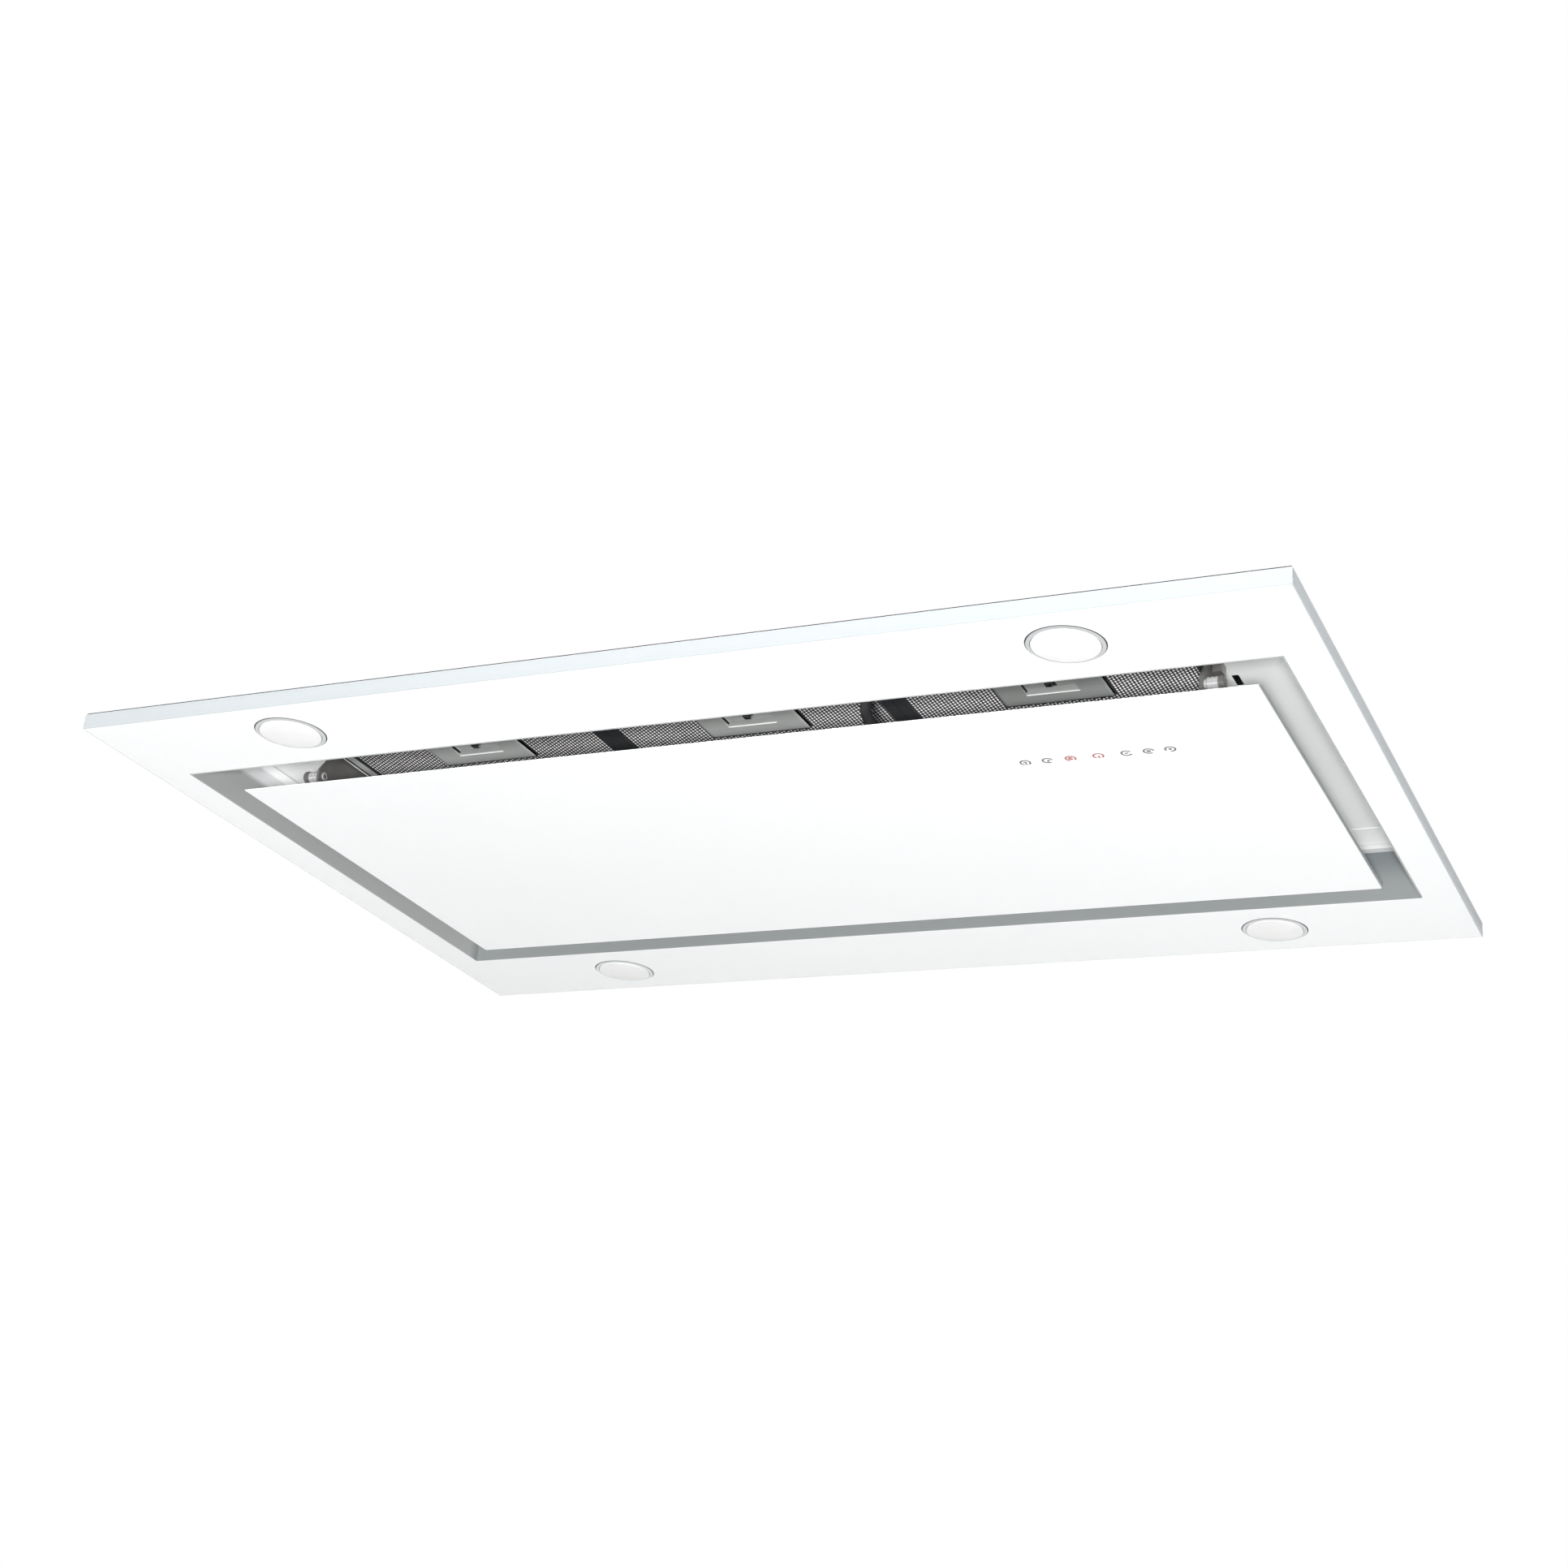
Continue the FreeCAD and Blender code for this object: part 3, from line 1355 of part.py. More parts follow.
def make_electronics():
    """The electronics box with its card, cover and cable gland."""
    x = span(s.unit_width, s.unit_x)
    y = span(s.unit_depth, s.unit_y)
    high = box_high + s.unit_height
    floor = box_high + s.unit_wall
    whole = block("unit_whole", x, y, (box_high, high))
    inside = block(
        "unit_inside",
        (x[0] + s.unit_wall, x[1] - s.unit_wall),
        (y[0] + s.unit_wall, y[1] - s.unit_wall),
        (floor, high),
    )
    gland_z = box_high + s.unit_height / 2
    wall_x = (x[0], x[0] + s.unit_wall)
    gland_hole = rod_x("unit_gland_hole", s.gland_radius + s.running_gap, wall_x, s.gland_y, gland_z)
    lead_hole = rod("unit_lead_hole", 2 * s.lead_radius, (box_high, floor), lead_rise[0], lead_rise[1])
    shell = cut("unit_shell", whole, inside, gland_hole, lead_hole)
    card_x = (x[0] + s.card_margin, x[1] - s.card_margin)
    card_y = (y[0] + s.card_margin + 34, y[1] - s.card_margin)
    card_low = floor + s.pillar_height
    pillars = []
    for index, (across, along) in enumerate(corners):
        pillar_x = (card_x[0] + card_x[1]) / 2 + across * ((card_x[1] - card_x[0]) / 2 - s.pillar_radius - 2)
        pillar_y = (card_y[0] + card_y[1]) / 2 + along * ((card_y[1] - card_y[0]) / 2 - s.pillar_radius - 2)
        pillars.append(rod(f"unit_pillar_{index}", s.pillar_radius, (floor, card_low), pillar_x, pillar_y))
    keep(fuse("electronics_box", shell, *pillars))

    card_high = card_low + s.card_height
    card = block("card_plate", card_x, card_y, (card_low, card_high))
    middle = s.unit_x
    parts_on_card = [
        block("card_transformer", span(42, middle - 34), span(36, s.unit_y + 60), (card_high, card_high + 24)),
        block("card_relay_a", span(16, middle + 30), span(20, s.unit_y + 66), (card_high, card_high + 16)),
        block("card_relay_b", span(16, middle + 52), span(20, s.unit_y + 66), (card_high, card_high + 16)),
        block("card_terminals", span(62, middle), span(14, s.unit_y - 56), (card_high, card_high + 15)),
        rod("card_can_a", 9, (card_high, card_high + 22), middle + 20, s.unit_y + 8),
        rod("card_can_b", 9, (card_high, card_high + 22), middle + 44, s.unit_y + 8),
        block("card_sink", span(46, middle - 32), span(6, s.unit_y + 2), (card_high, card_high + 20)),
    ]
    keep(fuse("power_board", card, *parts_on_card))

    cover_z = (high, high + s.unit_wall)
    keep(block("electronics_cover", x, y, cover_z))

    stem_x = (x[0] - 8, x[0] + s.unit_wall + 6)
    stem = rod_x("gland_stem", s.gland_radius, stem_x, s.gland_y, gland_z)
    nut = document.addObject("Part::Prism", "gland_nut_hex")
    nut.Polygon = 6
    nut.Placement.Rotation = FreeCAD.Rotation(FreeCAD.Vector(0, 1, 0), 90)
    bind(nut, Circumradius=s.gland_nut, Height=6)
    move(nut, x[0] - 6, s.gland_y, gland_z)
    dome = document.addObject("Part::Cone", "gland_dome")
    dome.Placement.Rotation = FreeCAD.Rotation(FreeCAD.Vector(0, 1, 0), -90)
    bind(dome, Radius1=s.gland_radius, Radius2=s.gland_bore + 1.5, Height=7)
    move(dome, x[0] - 8, s.gland_y, gland_z)
    bore = rod_x("gland_hole", s.gland_bore, (x[0] - 15, stem_x[1]), s.gland_y, gland_z)
    keep(cut("cable_gland", fuse("gland_whole", stem, nut, dome), bore))


def make_lamp_driver():
    """The lamp driver: a closed case with an ear at each end."""
    x = span(s.driver_width, s.driver_x)
    length = s.driver_depth - 2 * s.driver_ear
    case = block("driver_case", x, span(length), (box_high, box_high + s.driver_height))
    ears = block("driver_ears", x, span(s.driver_depth), (box_high, box_high + s.hang_sheet))
    ear_y = (s.driver_depth - s.driver_ear) / 2
    holes = [
        rod(f"driver_hole_{index}", s.screw_hole, (box_high, box_high + s.hang_sheet), s.driver_x, side * ear_y)
        for index, side in enumerate(sign)
    ]
    keep(cut("lamp_driver", fuse("driver_whole", case, ears), *holes))


def make_suspension():
    """Four C-shaped brackets on the body box; a threaded rod from the slab goes through each."""
    body = new_body("bracket_c", y=s.hang_y + s.hang_width / 2)
    drawing = new_sketch(body, "bracket_c_profile", "XZ_Plane")
    low, high = box_high, box_high + s.hang_height
    inner, outer = s.hang_x - s.hang_reach, s.hang_x + s.hang_reach
    back = outer + s.hang_sheet
    outline = [
        (inner, low),
        (back, low),
        (back, high),
        (inner, high),
        (inner, high - s.hang_sheet),
        (outer, high - s.hang_sheet),
        (outer, low + s.hang_sheet),
        (inner, low + s.hang_sheet),
    ]
    draw_outline(drawing, outline)
    pad(body, drawing, "bracket_c_pad", s.hang_width)
    hole = rod("bracket_c_hole", s.hang_hole, (high - s.hang_sheet, high), s.hang_x, s.hang_y)
    keep(four("suspension_brackets", cut("suspension_bracket", body, hole)))


# ---- lead of the panel ----

# The lead leaves the control cover, crosses the hinge's axis, rises through the grommet and runs
# over the recess to the electronics box. The points are chosen by hand along that way.
lead_start = s.touch_x - s.touch_width / 2 + s.touch_wall + 10
lead_level = tray_floor + s.lead_radius + 1
lead_rise = (s.unit_x + s.unit_width / 2 - s.lead_inset, formula(-96))
lead_points = [
    (lead_start, s.touch_y, lead_level),
    (s.lead_x + 42, s.touch_y, lead_level),
    (s.lead_x + 20, s.touch_y - 10, 10.6),
    (s.lead_x + 4, axis_y + 12, 10.2),
    (s.lead_x - 6, axis_y - 8, 11.5),
    (s.lead_x - 9, axis_y - 19.5, 17),
    (s.lead_x - 5, s.lead_y + 3, 26),
    (s.lead_x, s.lead_y, 36),
    (s.lead_x, s.lead_y, 66),
    (s.lead_x - 20, s.lead_y - 4, 82),
    (s.lead_x - 78, s.lead_y - 10, 88),
    (s.lead_x - 153, s.lead_y - 14, 86),
    (s.lead_x - 233, s.lead_y - 10, 89),
    (s.lead_x - 308, s.lead_y - 14, 86),
    (lead_rise[0] + 27, s.lead_y + 10, 88),
    (lead_rise[0], -120, 90),
    (lead_rise[0], lead_rise[1], 100),
    (lead_rise[0], lead_rise[1], 122),
]


def rounded_path(points):
    """Straight runs joined by tangent arcs, each as large as its two runs allow."""
    edges = []
    start = points[0]
    for before, corner, after in zip(points, points[1:], points[2:]):
        arriving = (corner - before).normalize()
        leaving = (after - corner).normalize()
        half_turn = arriving.getAngle(leaving) / 2
        shorter = min((corner - before).Length, (after - corner).Length)
        setback = 0.45 * shorter
        radius = setback / math.tan(half_turn)
        print(f"lead radius {radius:.1f}")
        begin = corner - arriving * setback
        end = corner + leaving * setback
        inward = (leaving - arriving).normalize()
        middle = corner + inward * (radius / math.cos(half_turn) - radius)
        edges.append(Part.LineSegment(start, begin).toShape())
        edges.append(Part.Arc(begin, middle, end).toShape())
        start = end
    edges.append(Part.LineSegment(start, points[-1]).toShape())
    return Part.Wire(edges)


def make_lead():
    """The panel's lead, and the grommet it goes through."""
    points = [FreeCAD.Vector(*(float(value) for value in point)) for point in lead_points]
    path = rounded_path(points)
    ring = Part.Wire([Part.makeCircle(float(s.lead_radius), points[0], points[1] - points[0])])
    tube = path.makePipeShell([ring], True, True)
    expected = math.pi * float(s.lead_radius) ** 2 * path.Length
    if abs(tube.Volume / expected - 1) > 0.01:
        raise RuntimeError("the lead's tube does not fill its route")
    print(f"lead length {path.Length:.0f}")
    keep(shape_part("panel_lead", tube))

    flange = (ceiling - s.grommet_lip, ceiling_high + s.grommet_lip)
    whole = rod("grommet_whole", s.grommet_radius, flange, s.lead_x, s.lead_y)
    outside = rod("grommet_outside", s.grommet_radius + 1, (ceiling, ceiling_high), s.lead_x, s.lead_y)
    core = rod("grommet_core", s.grommet_groove, (ceiling, ceiling_high), s.lead_x, s.lead_y)
    bore = rod("grommet_bore", s.lead_radius + s.fit_gap / 3, flange, s.lead_x, s.lead_y)
    keep(cut("lead_grommet", whole, cut("grommet_ring", outside, core), bore))


# ---- screws ----


def make_screws():
    """Pan-head screws with their heads up: each set's spots and the height of its seat."""
    sets = [
        (flange_spots, rim_high + s.sheet, s.rim_height - s.sheet),
        (recess_spots, rim_high + s.sheet, s.rim_height - s.sheet),
        (housing_spots, box_high + s.sheet, s.screw_length),
        (lid_spots, housing_high + s.sheet, s.screw_length),
    ]
    screws = []
    for spots, seat, length in sets:
        for x, y in spots:
            foot = FreeCAD.Vector(float(x), float(y), float(seat))
            shank = Part.makeCylinder(float(s.screw_radius), float(length), foot - FreeCAD.Vector(0, 0, float(length)))
            head = Part.makeCylinder(float(s.screw_head), float(s.screw_head_height), foot)
            rim = [edge for edge in head.Edges if edge.BoundBox.ZMin > foot.z + 0.1 and edge.BoundBox.ZLength < 0.1]
            screws.append(head.makeFillet(float(s.screw_head_height) / 2, rim).fuse(shank).removeSplitter())
    keep(shape_part("body_screws", Part.makeCompound(screws)))


make_glass_frame()
make_fascia_rim()
make_ceiling_seal()
make_recess_tray()
make_lamp_bezel()
make_lamp_lens()
make_lamp_board()
make_lamp_housing()
make_lamp_springs()
make_panel_glass()
make_panel_tray()
make_control_unit()
make_hinges()
make_catches()
make_filter_supports()
make_filters()
make_base_box()
make_housing()
make_scroll()
make_blower_plate()
make_impeller()
make_motor()
make_outlet()
make_flap("damper_flap_left", -1)
make_flap("damper_flap_right", 1)
make_electronics()
make_lamp_driver()
make_suspension()
make_lead()
make_screws()

document.recompute()
for item in document.Objects:
    if "Invalid" in item.State or "Error" in item.State:
        raise RuntimeError(f"{item.Label} failed: {item.State}")

os.makedirs("parts", exist_ok=True)
for name, item in nodes.items():
    shape = item.Shape
    if shape.isNull() or not shape.isValid():
        raise RuntimeError(name + " has no sound shape")
    shape.exportStep(f"parts/{name}.step")
print(len(nodes), "nodes")
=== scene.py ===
import json
import math

import bmesh
import bpy
import numpy as np
from mathutils import Matrix, Vector


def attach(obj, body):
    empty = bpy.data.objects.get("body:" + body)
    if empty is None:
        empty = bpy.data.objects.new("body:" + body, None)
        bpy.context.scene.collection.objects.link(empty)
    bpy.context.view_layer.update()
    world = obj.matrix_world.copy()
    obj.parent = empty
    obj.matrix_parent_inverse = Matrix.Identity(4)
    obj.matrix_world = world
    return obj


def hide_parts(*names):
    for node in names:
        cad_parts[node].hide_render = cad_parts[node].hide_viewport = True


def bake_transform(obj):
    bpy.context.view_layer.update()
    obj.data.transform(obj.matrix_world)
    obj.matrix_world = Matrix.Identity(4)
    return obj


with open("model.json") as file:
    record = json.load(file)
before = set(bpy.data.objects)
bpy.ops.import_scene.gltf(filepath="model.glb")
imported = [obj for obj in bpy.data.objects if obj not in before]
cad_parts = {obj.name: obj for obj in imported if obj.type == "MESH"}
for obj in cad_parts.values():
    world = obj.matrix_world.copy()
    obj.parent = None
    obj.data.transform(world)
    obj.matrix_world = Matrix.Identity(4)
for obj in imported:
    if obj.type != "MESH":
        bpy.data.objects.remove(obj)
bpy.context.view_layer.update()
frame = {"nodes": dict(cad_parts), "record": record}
nodes = frame["nodes"]
mm = 0.001  # the numbers below are in millimetres, the scene is in metres
print("ceiling hood: frame loaded,", len(nodes), "nodes")


# a shape is a pair: all its points, in millimetres, and a list of arrays of faces


def gridFaces(rows, columns, wrapRows=False, wrapColumns=False):
    # quads between neighbouring rows and columns of a rows x columns sheet of points
    row = np.arange(rows if wrapRows else rows - 1)[:, None]
    column = np.arange(columns if wrapColumns else columns - 1)[None, :]
    nextRow, nextColumn = (row + 1) % rows, (column + 1) % columns
    corners = (row * columns + column, row * columns + nextColumn,
               nextRow * columns + nextColumn, nextRow * columns + column)
    return np.stack([c.ravel() for c in np.broadcast_arrays(*corners)], axis=1)


def cappedRows(rows, count):
    # the faces of closed rows of points set one after another, with a flat cap at each end
    cap = np.arange(count)
    return [gridFaces(rows, count, wrapColumns=True), cap[None, ::-1], cap[None, :] + count * (rows - 1)]


def joinShapes(shapes):
    # several shapes as one, each one's indices moved past the points before it
    points, faces, start = [], [], 0
    for shapePoints, shapeFaces in shapes:
        points.append(shapePoints)
        faces += [f + start for f in shapeFaces]
        start += len(shapePoints)
    return np.concatenate(points), faces


def moved(shape, x=0, y=0, z=0):
    # every point shifted by one vector
    return shape[0] + np.array((x, y, z), float), shape[1]


def mirrored(shape, axis):
    # the other hand of a shape: one coordinate changes sign, and each face is listed backwards
    flip = np.ones(3)
    flip[axis] = -1
    return shape[0] * flip, [f[:, ::-1] for f in shape[1]]


def leftAndRight(shape):
    # a shape and its mirror image across the plane x = 0
    return joinShapes([shape, mirrored(shape, 0)])


def fourCorners(shape):
    # a shape made about (+x, +y) and its three mirror images
    return leftAndRight(joinShapes([shape, mirrored(shape, 1)]))


def makePiece(name, shape, material, smooth=None, tidy=False):
    # one mesh object at the origin; smooth is the angle in degrees below which edges are shaded round
    points, faces = shape
    sides = np.concatenate([np.full(len(f), f.shape[1]) for f in faces])
    corners = np.concatenate([f.ravel() for f in faces]).astype(np.int32)
    starts = np.concatenate([[0], np.cumsum(sides)[:-1]]).astype(np.int32)
    mesh = bpy.data.meshes.new(name)
    mesh.vertices.add(len(points))
    mesh.vertices.foreach_set("co", (points * mm).astype(np.float32).ravel())
    mesh.loops.add(len(corners))
    mesh.polygons.add(len(sides))
    mesh.polygons.foreach_set("loop_start", starts)
    mesh.polygons.foreach_set("vertices", corners)
    mesh.update(calc_edges=True)
    mesh.validate()
    if tidy:  # merges the points of poles and seams, and turns every face outwards
        work = bmesh.new()
        work.from_mesh(mesh)
        bmesh.ops.remove_doubles(work, verts=work.verts, dist=1e-6)
        bmesh.ops.recalc_face_normals(work, faces=work.faces)
        work.to_mesh(mesh)
        work.free()
    if smooth:
        mesh.shade_smooth()
        mesh.set_sharp_from_angle(angle=math.radians(smooth))
    else:
        mesh.shade_flat()
    mesh.materials.append(material)
    piece = bpy.data.objects.new(name, mesh)
    bpy.context.scene.collection.objects.link(piece)
    return piece


def paintWhere(piece, material, chosen):
    # faces picked by their middle and normal (millimetres) take one more material
    mesh = piece.data
    count = len(mesh.polygons)
    middle, normal = np.empty(count * 3, np.float32), np.empty(count * 3, np.float32)
    mesh.polygons.foreach_get("center", middle)
    mesh.polygons.foreach_get("normal", normal)
    index = np.empty(count, np.int32)
    mesh.polygons.foreach_get("material_index", index)
    mesh.materials.append(material)
    index[chosen(middle.reshape(-1, 3) / mm, normal.reshape(-1, 3))] = len(mesh.materials) - 1
    mesh.polygons.foreach_set("material_index", index)


def atLevel(outline, level):
    # each point (x, y) of an outline becomes (x, y, level)
    return np.column_stack((outline, np.full(len(outline), level)))


def atLevels(outlines, levels):
    # flat outlines set one above another, as one list of points
    return np.concatenate([atLevel(outline, level) for outline, level in zip(outlines, levels)])


def roundedRect(halfX, halfY, radius, steps=5):
    # a rectangle's outline: four quarter circles of one radius, each about its own corner centre
    turn = np.linspace(0, math.pi / 2, steps + 1)
    angle = (turn[None, :] + np.arange(4)[:, None] * math.pi / 2).ravel()
    signs = np.array([(1, 1), (-1, 1), (-1, -1), (1, -1)])
    centre = np.repeat(signs * (halfX - radius, halfY - radius), steps + 1, axis=0)
    return centre + radius * np.column_stack((np.cos(angle), np.sin(angle)))


def arc(radius, first, last, count):
    # radius times (cosine, sine) of evenly spaced angles between two given in degrees
    angle = np.radians(np.linspace(first, last, count))
    return radius * np.column_stack((np.cos(angle), np.sin(angle)))


def ringPoints(radius, count):
    # a whole circle of evenly spaced points, the first not repeated at the end
    angle = np.linspace(0, 2 * math.pi, count, endpoint=False)
    return radius * np.column_stack((np.cos(angle), np.sin(angle)))


def cornerCurve(before, corner, after, back, count):
    # both sides of a corner cut back by one length, and the quadratic curve that starts and ends along them
    begin = corner + (before - corner) * back / np.linalg.norm(before - corner)
    end = corner + (after - corner) * back / np.linalg.norm(after - corner)
    t = np.linspace(0, 1, count)[:, None]
    return (1 - t) ** 2 * begin + 2 * t * (1 - t) * corner + t ** 2 * end


def softened(corners):
    # a closed outline from (x, y, length cut back) rows, with a curve of five points at each corner
    corners = np.asarray(corners, float)
    place, backs = corners[:, :2], corners[:, 2]
    around = zip(np.roll(place, 1, axis=0), place, np.roll(place, -1, axis=0), backs)
    return np.concatenate([cornerCurve(*corner, 5) for corner in around])


def drawnIn(outline):
    # an outline as a function of a distance: its points moved inwards along its own normals
    turning = np.cross(outline, np.roll(outline, -1, axis=0)).sum()
    step = np.roll(outline, -1, axis=0) - np.roll(outline, 1, axis=0)
    inward = np.column_stack((-step[:, 1], step[:, 0]))
    inward *= np.sign(turning) / np.linalg.norm(step, axis=1)[:, None]
    return lambda distance: outline + inward * distance


def stacked(outlines, heights):
    # a closed body: one outline above another, with a flat cap at each end
    return atLevels(outlines, heights), cappedRows(len(heights), len(outlines[0]))


def slab(halfX, halfY, low, high, radius=1, edge=0.4):
    # a rounded rectangle drawn up from low to high, its upper and lower edges chamfered
    rows = [roundedRect(halfX - d, halfY - d, max(radius - d, 0.05)) for d in (edge, 0, 0, edge)]
    return stacked(rows, [low, low + edge, high - edge, high])


def turned(profile, count=64, closed=True):
    # a profile of (radius, height) pairs carried round the vertical axis
    profile = np.asarray(profile, float)
    angle = np.linspace(0, 2 * math.pi, count, endpoint=False)
    radius, height = profile[:, :1], profile[:, 1:]
    height = np.broadcast_to(height, (len(profile), count))
    points = np.stack((radius * np.cos(angle), radius * np.sin(angle), height), axis=2)
    return points.reshape(-1, 3), [gridFaces(len(profile), count, wrapRows=closed, wrapColumns=True)]


def alongX(shape):
    # turns a shape made about the vertical axis so that its axis lies along +x
    return shape[0][:, [2, 0, 1]], shape[1]


def sheetWithHoles(outlines, low, high, edge, rise=None):
    # a flat plate: chamfered side walls round each outline, and flat faces filled between them. each
    # outline is a function that gives its points for a distance moved into the sheet; the chamfer is
    # edge wide and rise high
    rise = edge if rise is None else rise
    heights = (low, low + rise, high - rise, high)
    walls, loops, edges, start = [], [[], []], [], 0
    for outline in outlines:
        rows = [outline(inset) for inset in (edge, 0, 0, edge)]
        count = len(rows[0])
        here = np.arange(count)
        walls.append((atLevels(rows, heights), [gridFaces(4, count, wrapColumns=True)]))
        loops[0].append(here + 4 * start)
        loops[1].append(here + 4 * start + 3 * count)
        edges.append(np.column_stack((here, (here + 1) % count)) + start)
        start += count
    points, faces = joinShapes(walls)
    edges = np.concatenate(edges)
    for index in (np.concatenate(loop) for loop in loops):
        flat = bpy.data.meshes.new("fill")
        flat.from_pydata(points[index], edges, [])
        work = bmesh.new()
        work.from_mesh(flat)
        bmesh.ops.triangle_fill(work, use_beauty=True, edges=work.edges[:])
        work.to_mesh(flat)
        work.free()
        corners = np.empty(len(flat.loops), np.int32)
        flat.loops.foreach_get("vertex_index", corners)
        faces.append(index[corners].reshape(-1, 3))
        bpy.data.meshes.remove(flat)
    return points, faces


def bars(starts, ends, width, height):
    # many straight four-sided bars at once, lying flat, each from its start point to its end point
    along = ends - starts
    across = np.column_stack((-along[:, 1], along[:, 0], np.zeros(len(along))))
    across *= (width / 2) / np.linalg.norm(across, axis=1)[:, None]
    up = np.array((0, 0, height / 2))
    ring = [-across - up, across - up, across + up, -across + up]
    points = np.stack([starts + r for r in ring] + [ends + r for r in ring], axis=1)
    quads = np.array([(3, 2, 1, 0), (4, 5, 6, 7), (0, 1, 5, 4), (1, 2, 6, 5), (2, 3, 7, 6), (3, 0, 4, 7)])
    faces = (np.arange(len(starts))[:, None, None] * 8 + quads[None]).reshape(-1, 4)
    return points.reshape(-1, 3), [faces]


def stroke(line, width, low, high):
    # a flat printed line: the path moved half its width to each side, closed below, above and at its ends
    step = np.gradient(line, axis=0)
    side = np.column_stack((-step[:, 1], step[:, 0]))
    side *= (width / 2) / np.linalg.norm(side, axis=1)[:, None]
    rows = [(line - side, low), (line + side, low), (line + side, high), (line - side, high)]
    points = np.stack([atLevel(row, level) for row, level in rows], axis=1).reshape(-1, 3)
    return points, cappedRows(len(line), 4)


def roundedPath(corners, step, share):
    # straight runs joined by curves, each corner cut back by a share of its shorter run, and the whole
    # line set out again in even steps
    corners = np.asarray(corners, float)
    runs = np.linalg.norm(np.diff(corners, axis=0), axis=1)
    backs = share * np.minimum(runs[:-1], runs[1:])
    curves = [cornerCurve(*corner, 9) for corner in zip(corners, corners[1:], corners[2:], backs)]
    line = np.concatenate([corners[:1], *curves, corners[-1:]])
    length = np.concatenate([[0], np.cumsum(np.linalg.norm(np.diff(line, axis=0), axis=1))])
    even = np.linspace(0, length[-1], int(length[-1] / step) + 1)
    return np.column_stack([np.interp(even, length, line[:, axis]) for axis in range(3)])


def tubeAlong(line, radius, sides=14):
    # a round tube: a circle set square to the path at each of its points, with flat ends
    step = np.gradient(line, axis=0)
    step /= np.linalg.norm(step, axis=1)[:, None]
    side = np.zeros_like(step)
    side[0] = np.cross(step[0], (0.3, 0.2, 1.0))
    for index in range(1, len(step)):  # the side is carried along the path without twist
        side[index] = side[index - 1] - step[index] * (side[index - 1] @ step[index])
    side /= np.linalg.norm(side, axis=1)[:, None]
    other = np.cross(step, side)
    angle = np.linspace(0, 2 * math.pi, sides, endpoint=False)
    ring = side[:, None] * np.cos(angle)[:, None] + other[:, None] * np.sin(angle)[:, None]
    return (line[:, None] + radius * ring).reshape(-1, 3), cappedRows(len(line), sides)


def addNode(tree, kind, settings=None, **inputs):
    # one node with its settings; an input is a number, a colour or another node's output
    node = tree.nodes.new("ShaderNode" + kind)
    for key, value in (settings or {}).items():
        setattr(node, key, value)
    for key, value in inputs.items():
        byPlace = key[0] == "i" and key[1:].isdigit()
        socket = node.inputs[int(key[1:]) if byPlace else key.replace("_", " ")]
        if isinstance(value, bpy.types.NodeSocket):
            tree.links.new(value, socket)
        else:
            socket.default_value = value
    return node


def mixed(tree, share, first, second, blend="MIX"):
    settings = {"data_type": "RGBA", "blend_type": blend}
    return addNode(tree, "Mix", settings, i0=share, i6=first, i7=second).outputs[2]


def ranged(tree, value, soft=False, **ends):
    settings = {"interpolation_type": "SMOOTHSTEP" if soft else "LINEAR"}
    return addNode(tree, "MapRange", settings, Value=value, **ends).outputs["Result"]


def reckoned(tree, operation, first, second):
    return addNode(tree, "Math", {"operation": operation}, i0=first, i1=second).outputs["Value"]


def startGroup(name, inputs):
    # an effect used by several materials: a tuple makes a colour input and a number a plain one
    group = bpy.data.node_groups.new(name, "ShaderNodeTree")
    for label, default in inputs.items():
        kind = "NodeSocketColor" if isinstance(default, tuple) else "NodeSocketFloat"
        socket = group.interface.new_socket(name=label, in_out="INPUT", socket_type=kind)
        socket.default_value = default
    return group, group.nodes.new("NodeGroupInput").outputs, addNode(group, "TexCoord").outputs["Object"]


def endGroup(group, **results):
    for label in results:
        kind = "NodeSocketColor" if label == "Color" else "NodeSocketFloat"
        group.interface.new_socket(name=label, in_out="OUTPUT", socket_type=kind)
    out = group.nodes.new("NodeGroupOutput")
    for label, socket in results.items():
        group.links.new(socket, out.inputs[label])
    return group


def makeFinePaint():
    # a sprayed or moulded skin: slow drift between two tones, and a fine pebble in height and gloss
    group, given, place = startGroup("finePaint", {
        "Tone": (0.8, 0.8, 0.8, 1), "Second Tone": (0.7, 0.7, 0.7, 1), "Drift": 6.0, "Grain": 900.0,
        "Gloss Low": 0.3, "Gloss High": 0.4})
    drift = addNode(group, "TexNoise", Vector=place, Scale=given["Drift"], Detail=3.0, Roughness=0.6)
    grain = addNode(group, "TexNoise", Vector=place, Scale=given["Grain"], Detail=2.0).outputs["Fac"]
    tone = mixed(group, drift.outputs["Fac"], given["Tone"], given["Second Tone"])
    gloss = ranged(group, grain, To_Min=given["Gloss Low"], To_Max=given["Gloss High"])
    return endGroup(group, Color=tone, Roughness=gloss, Height=grain)


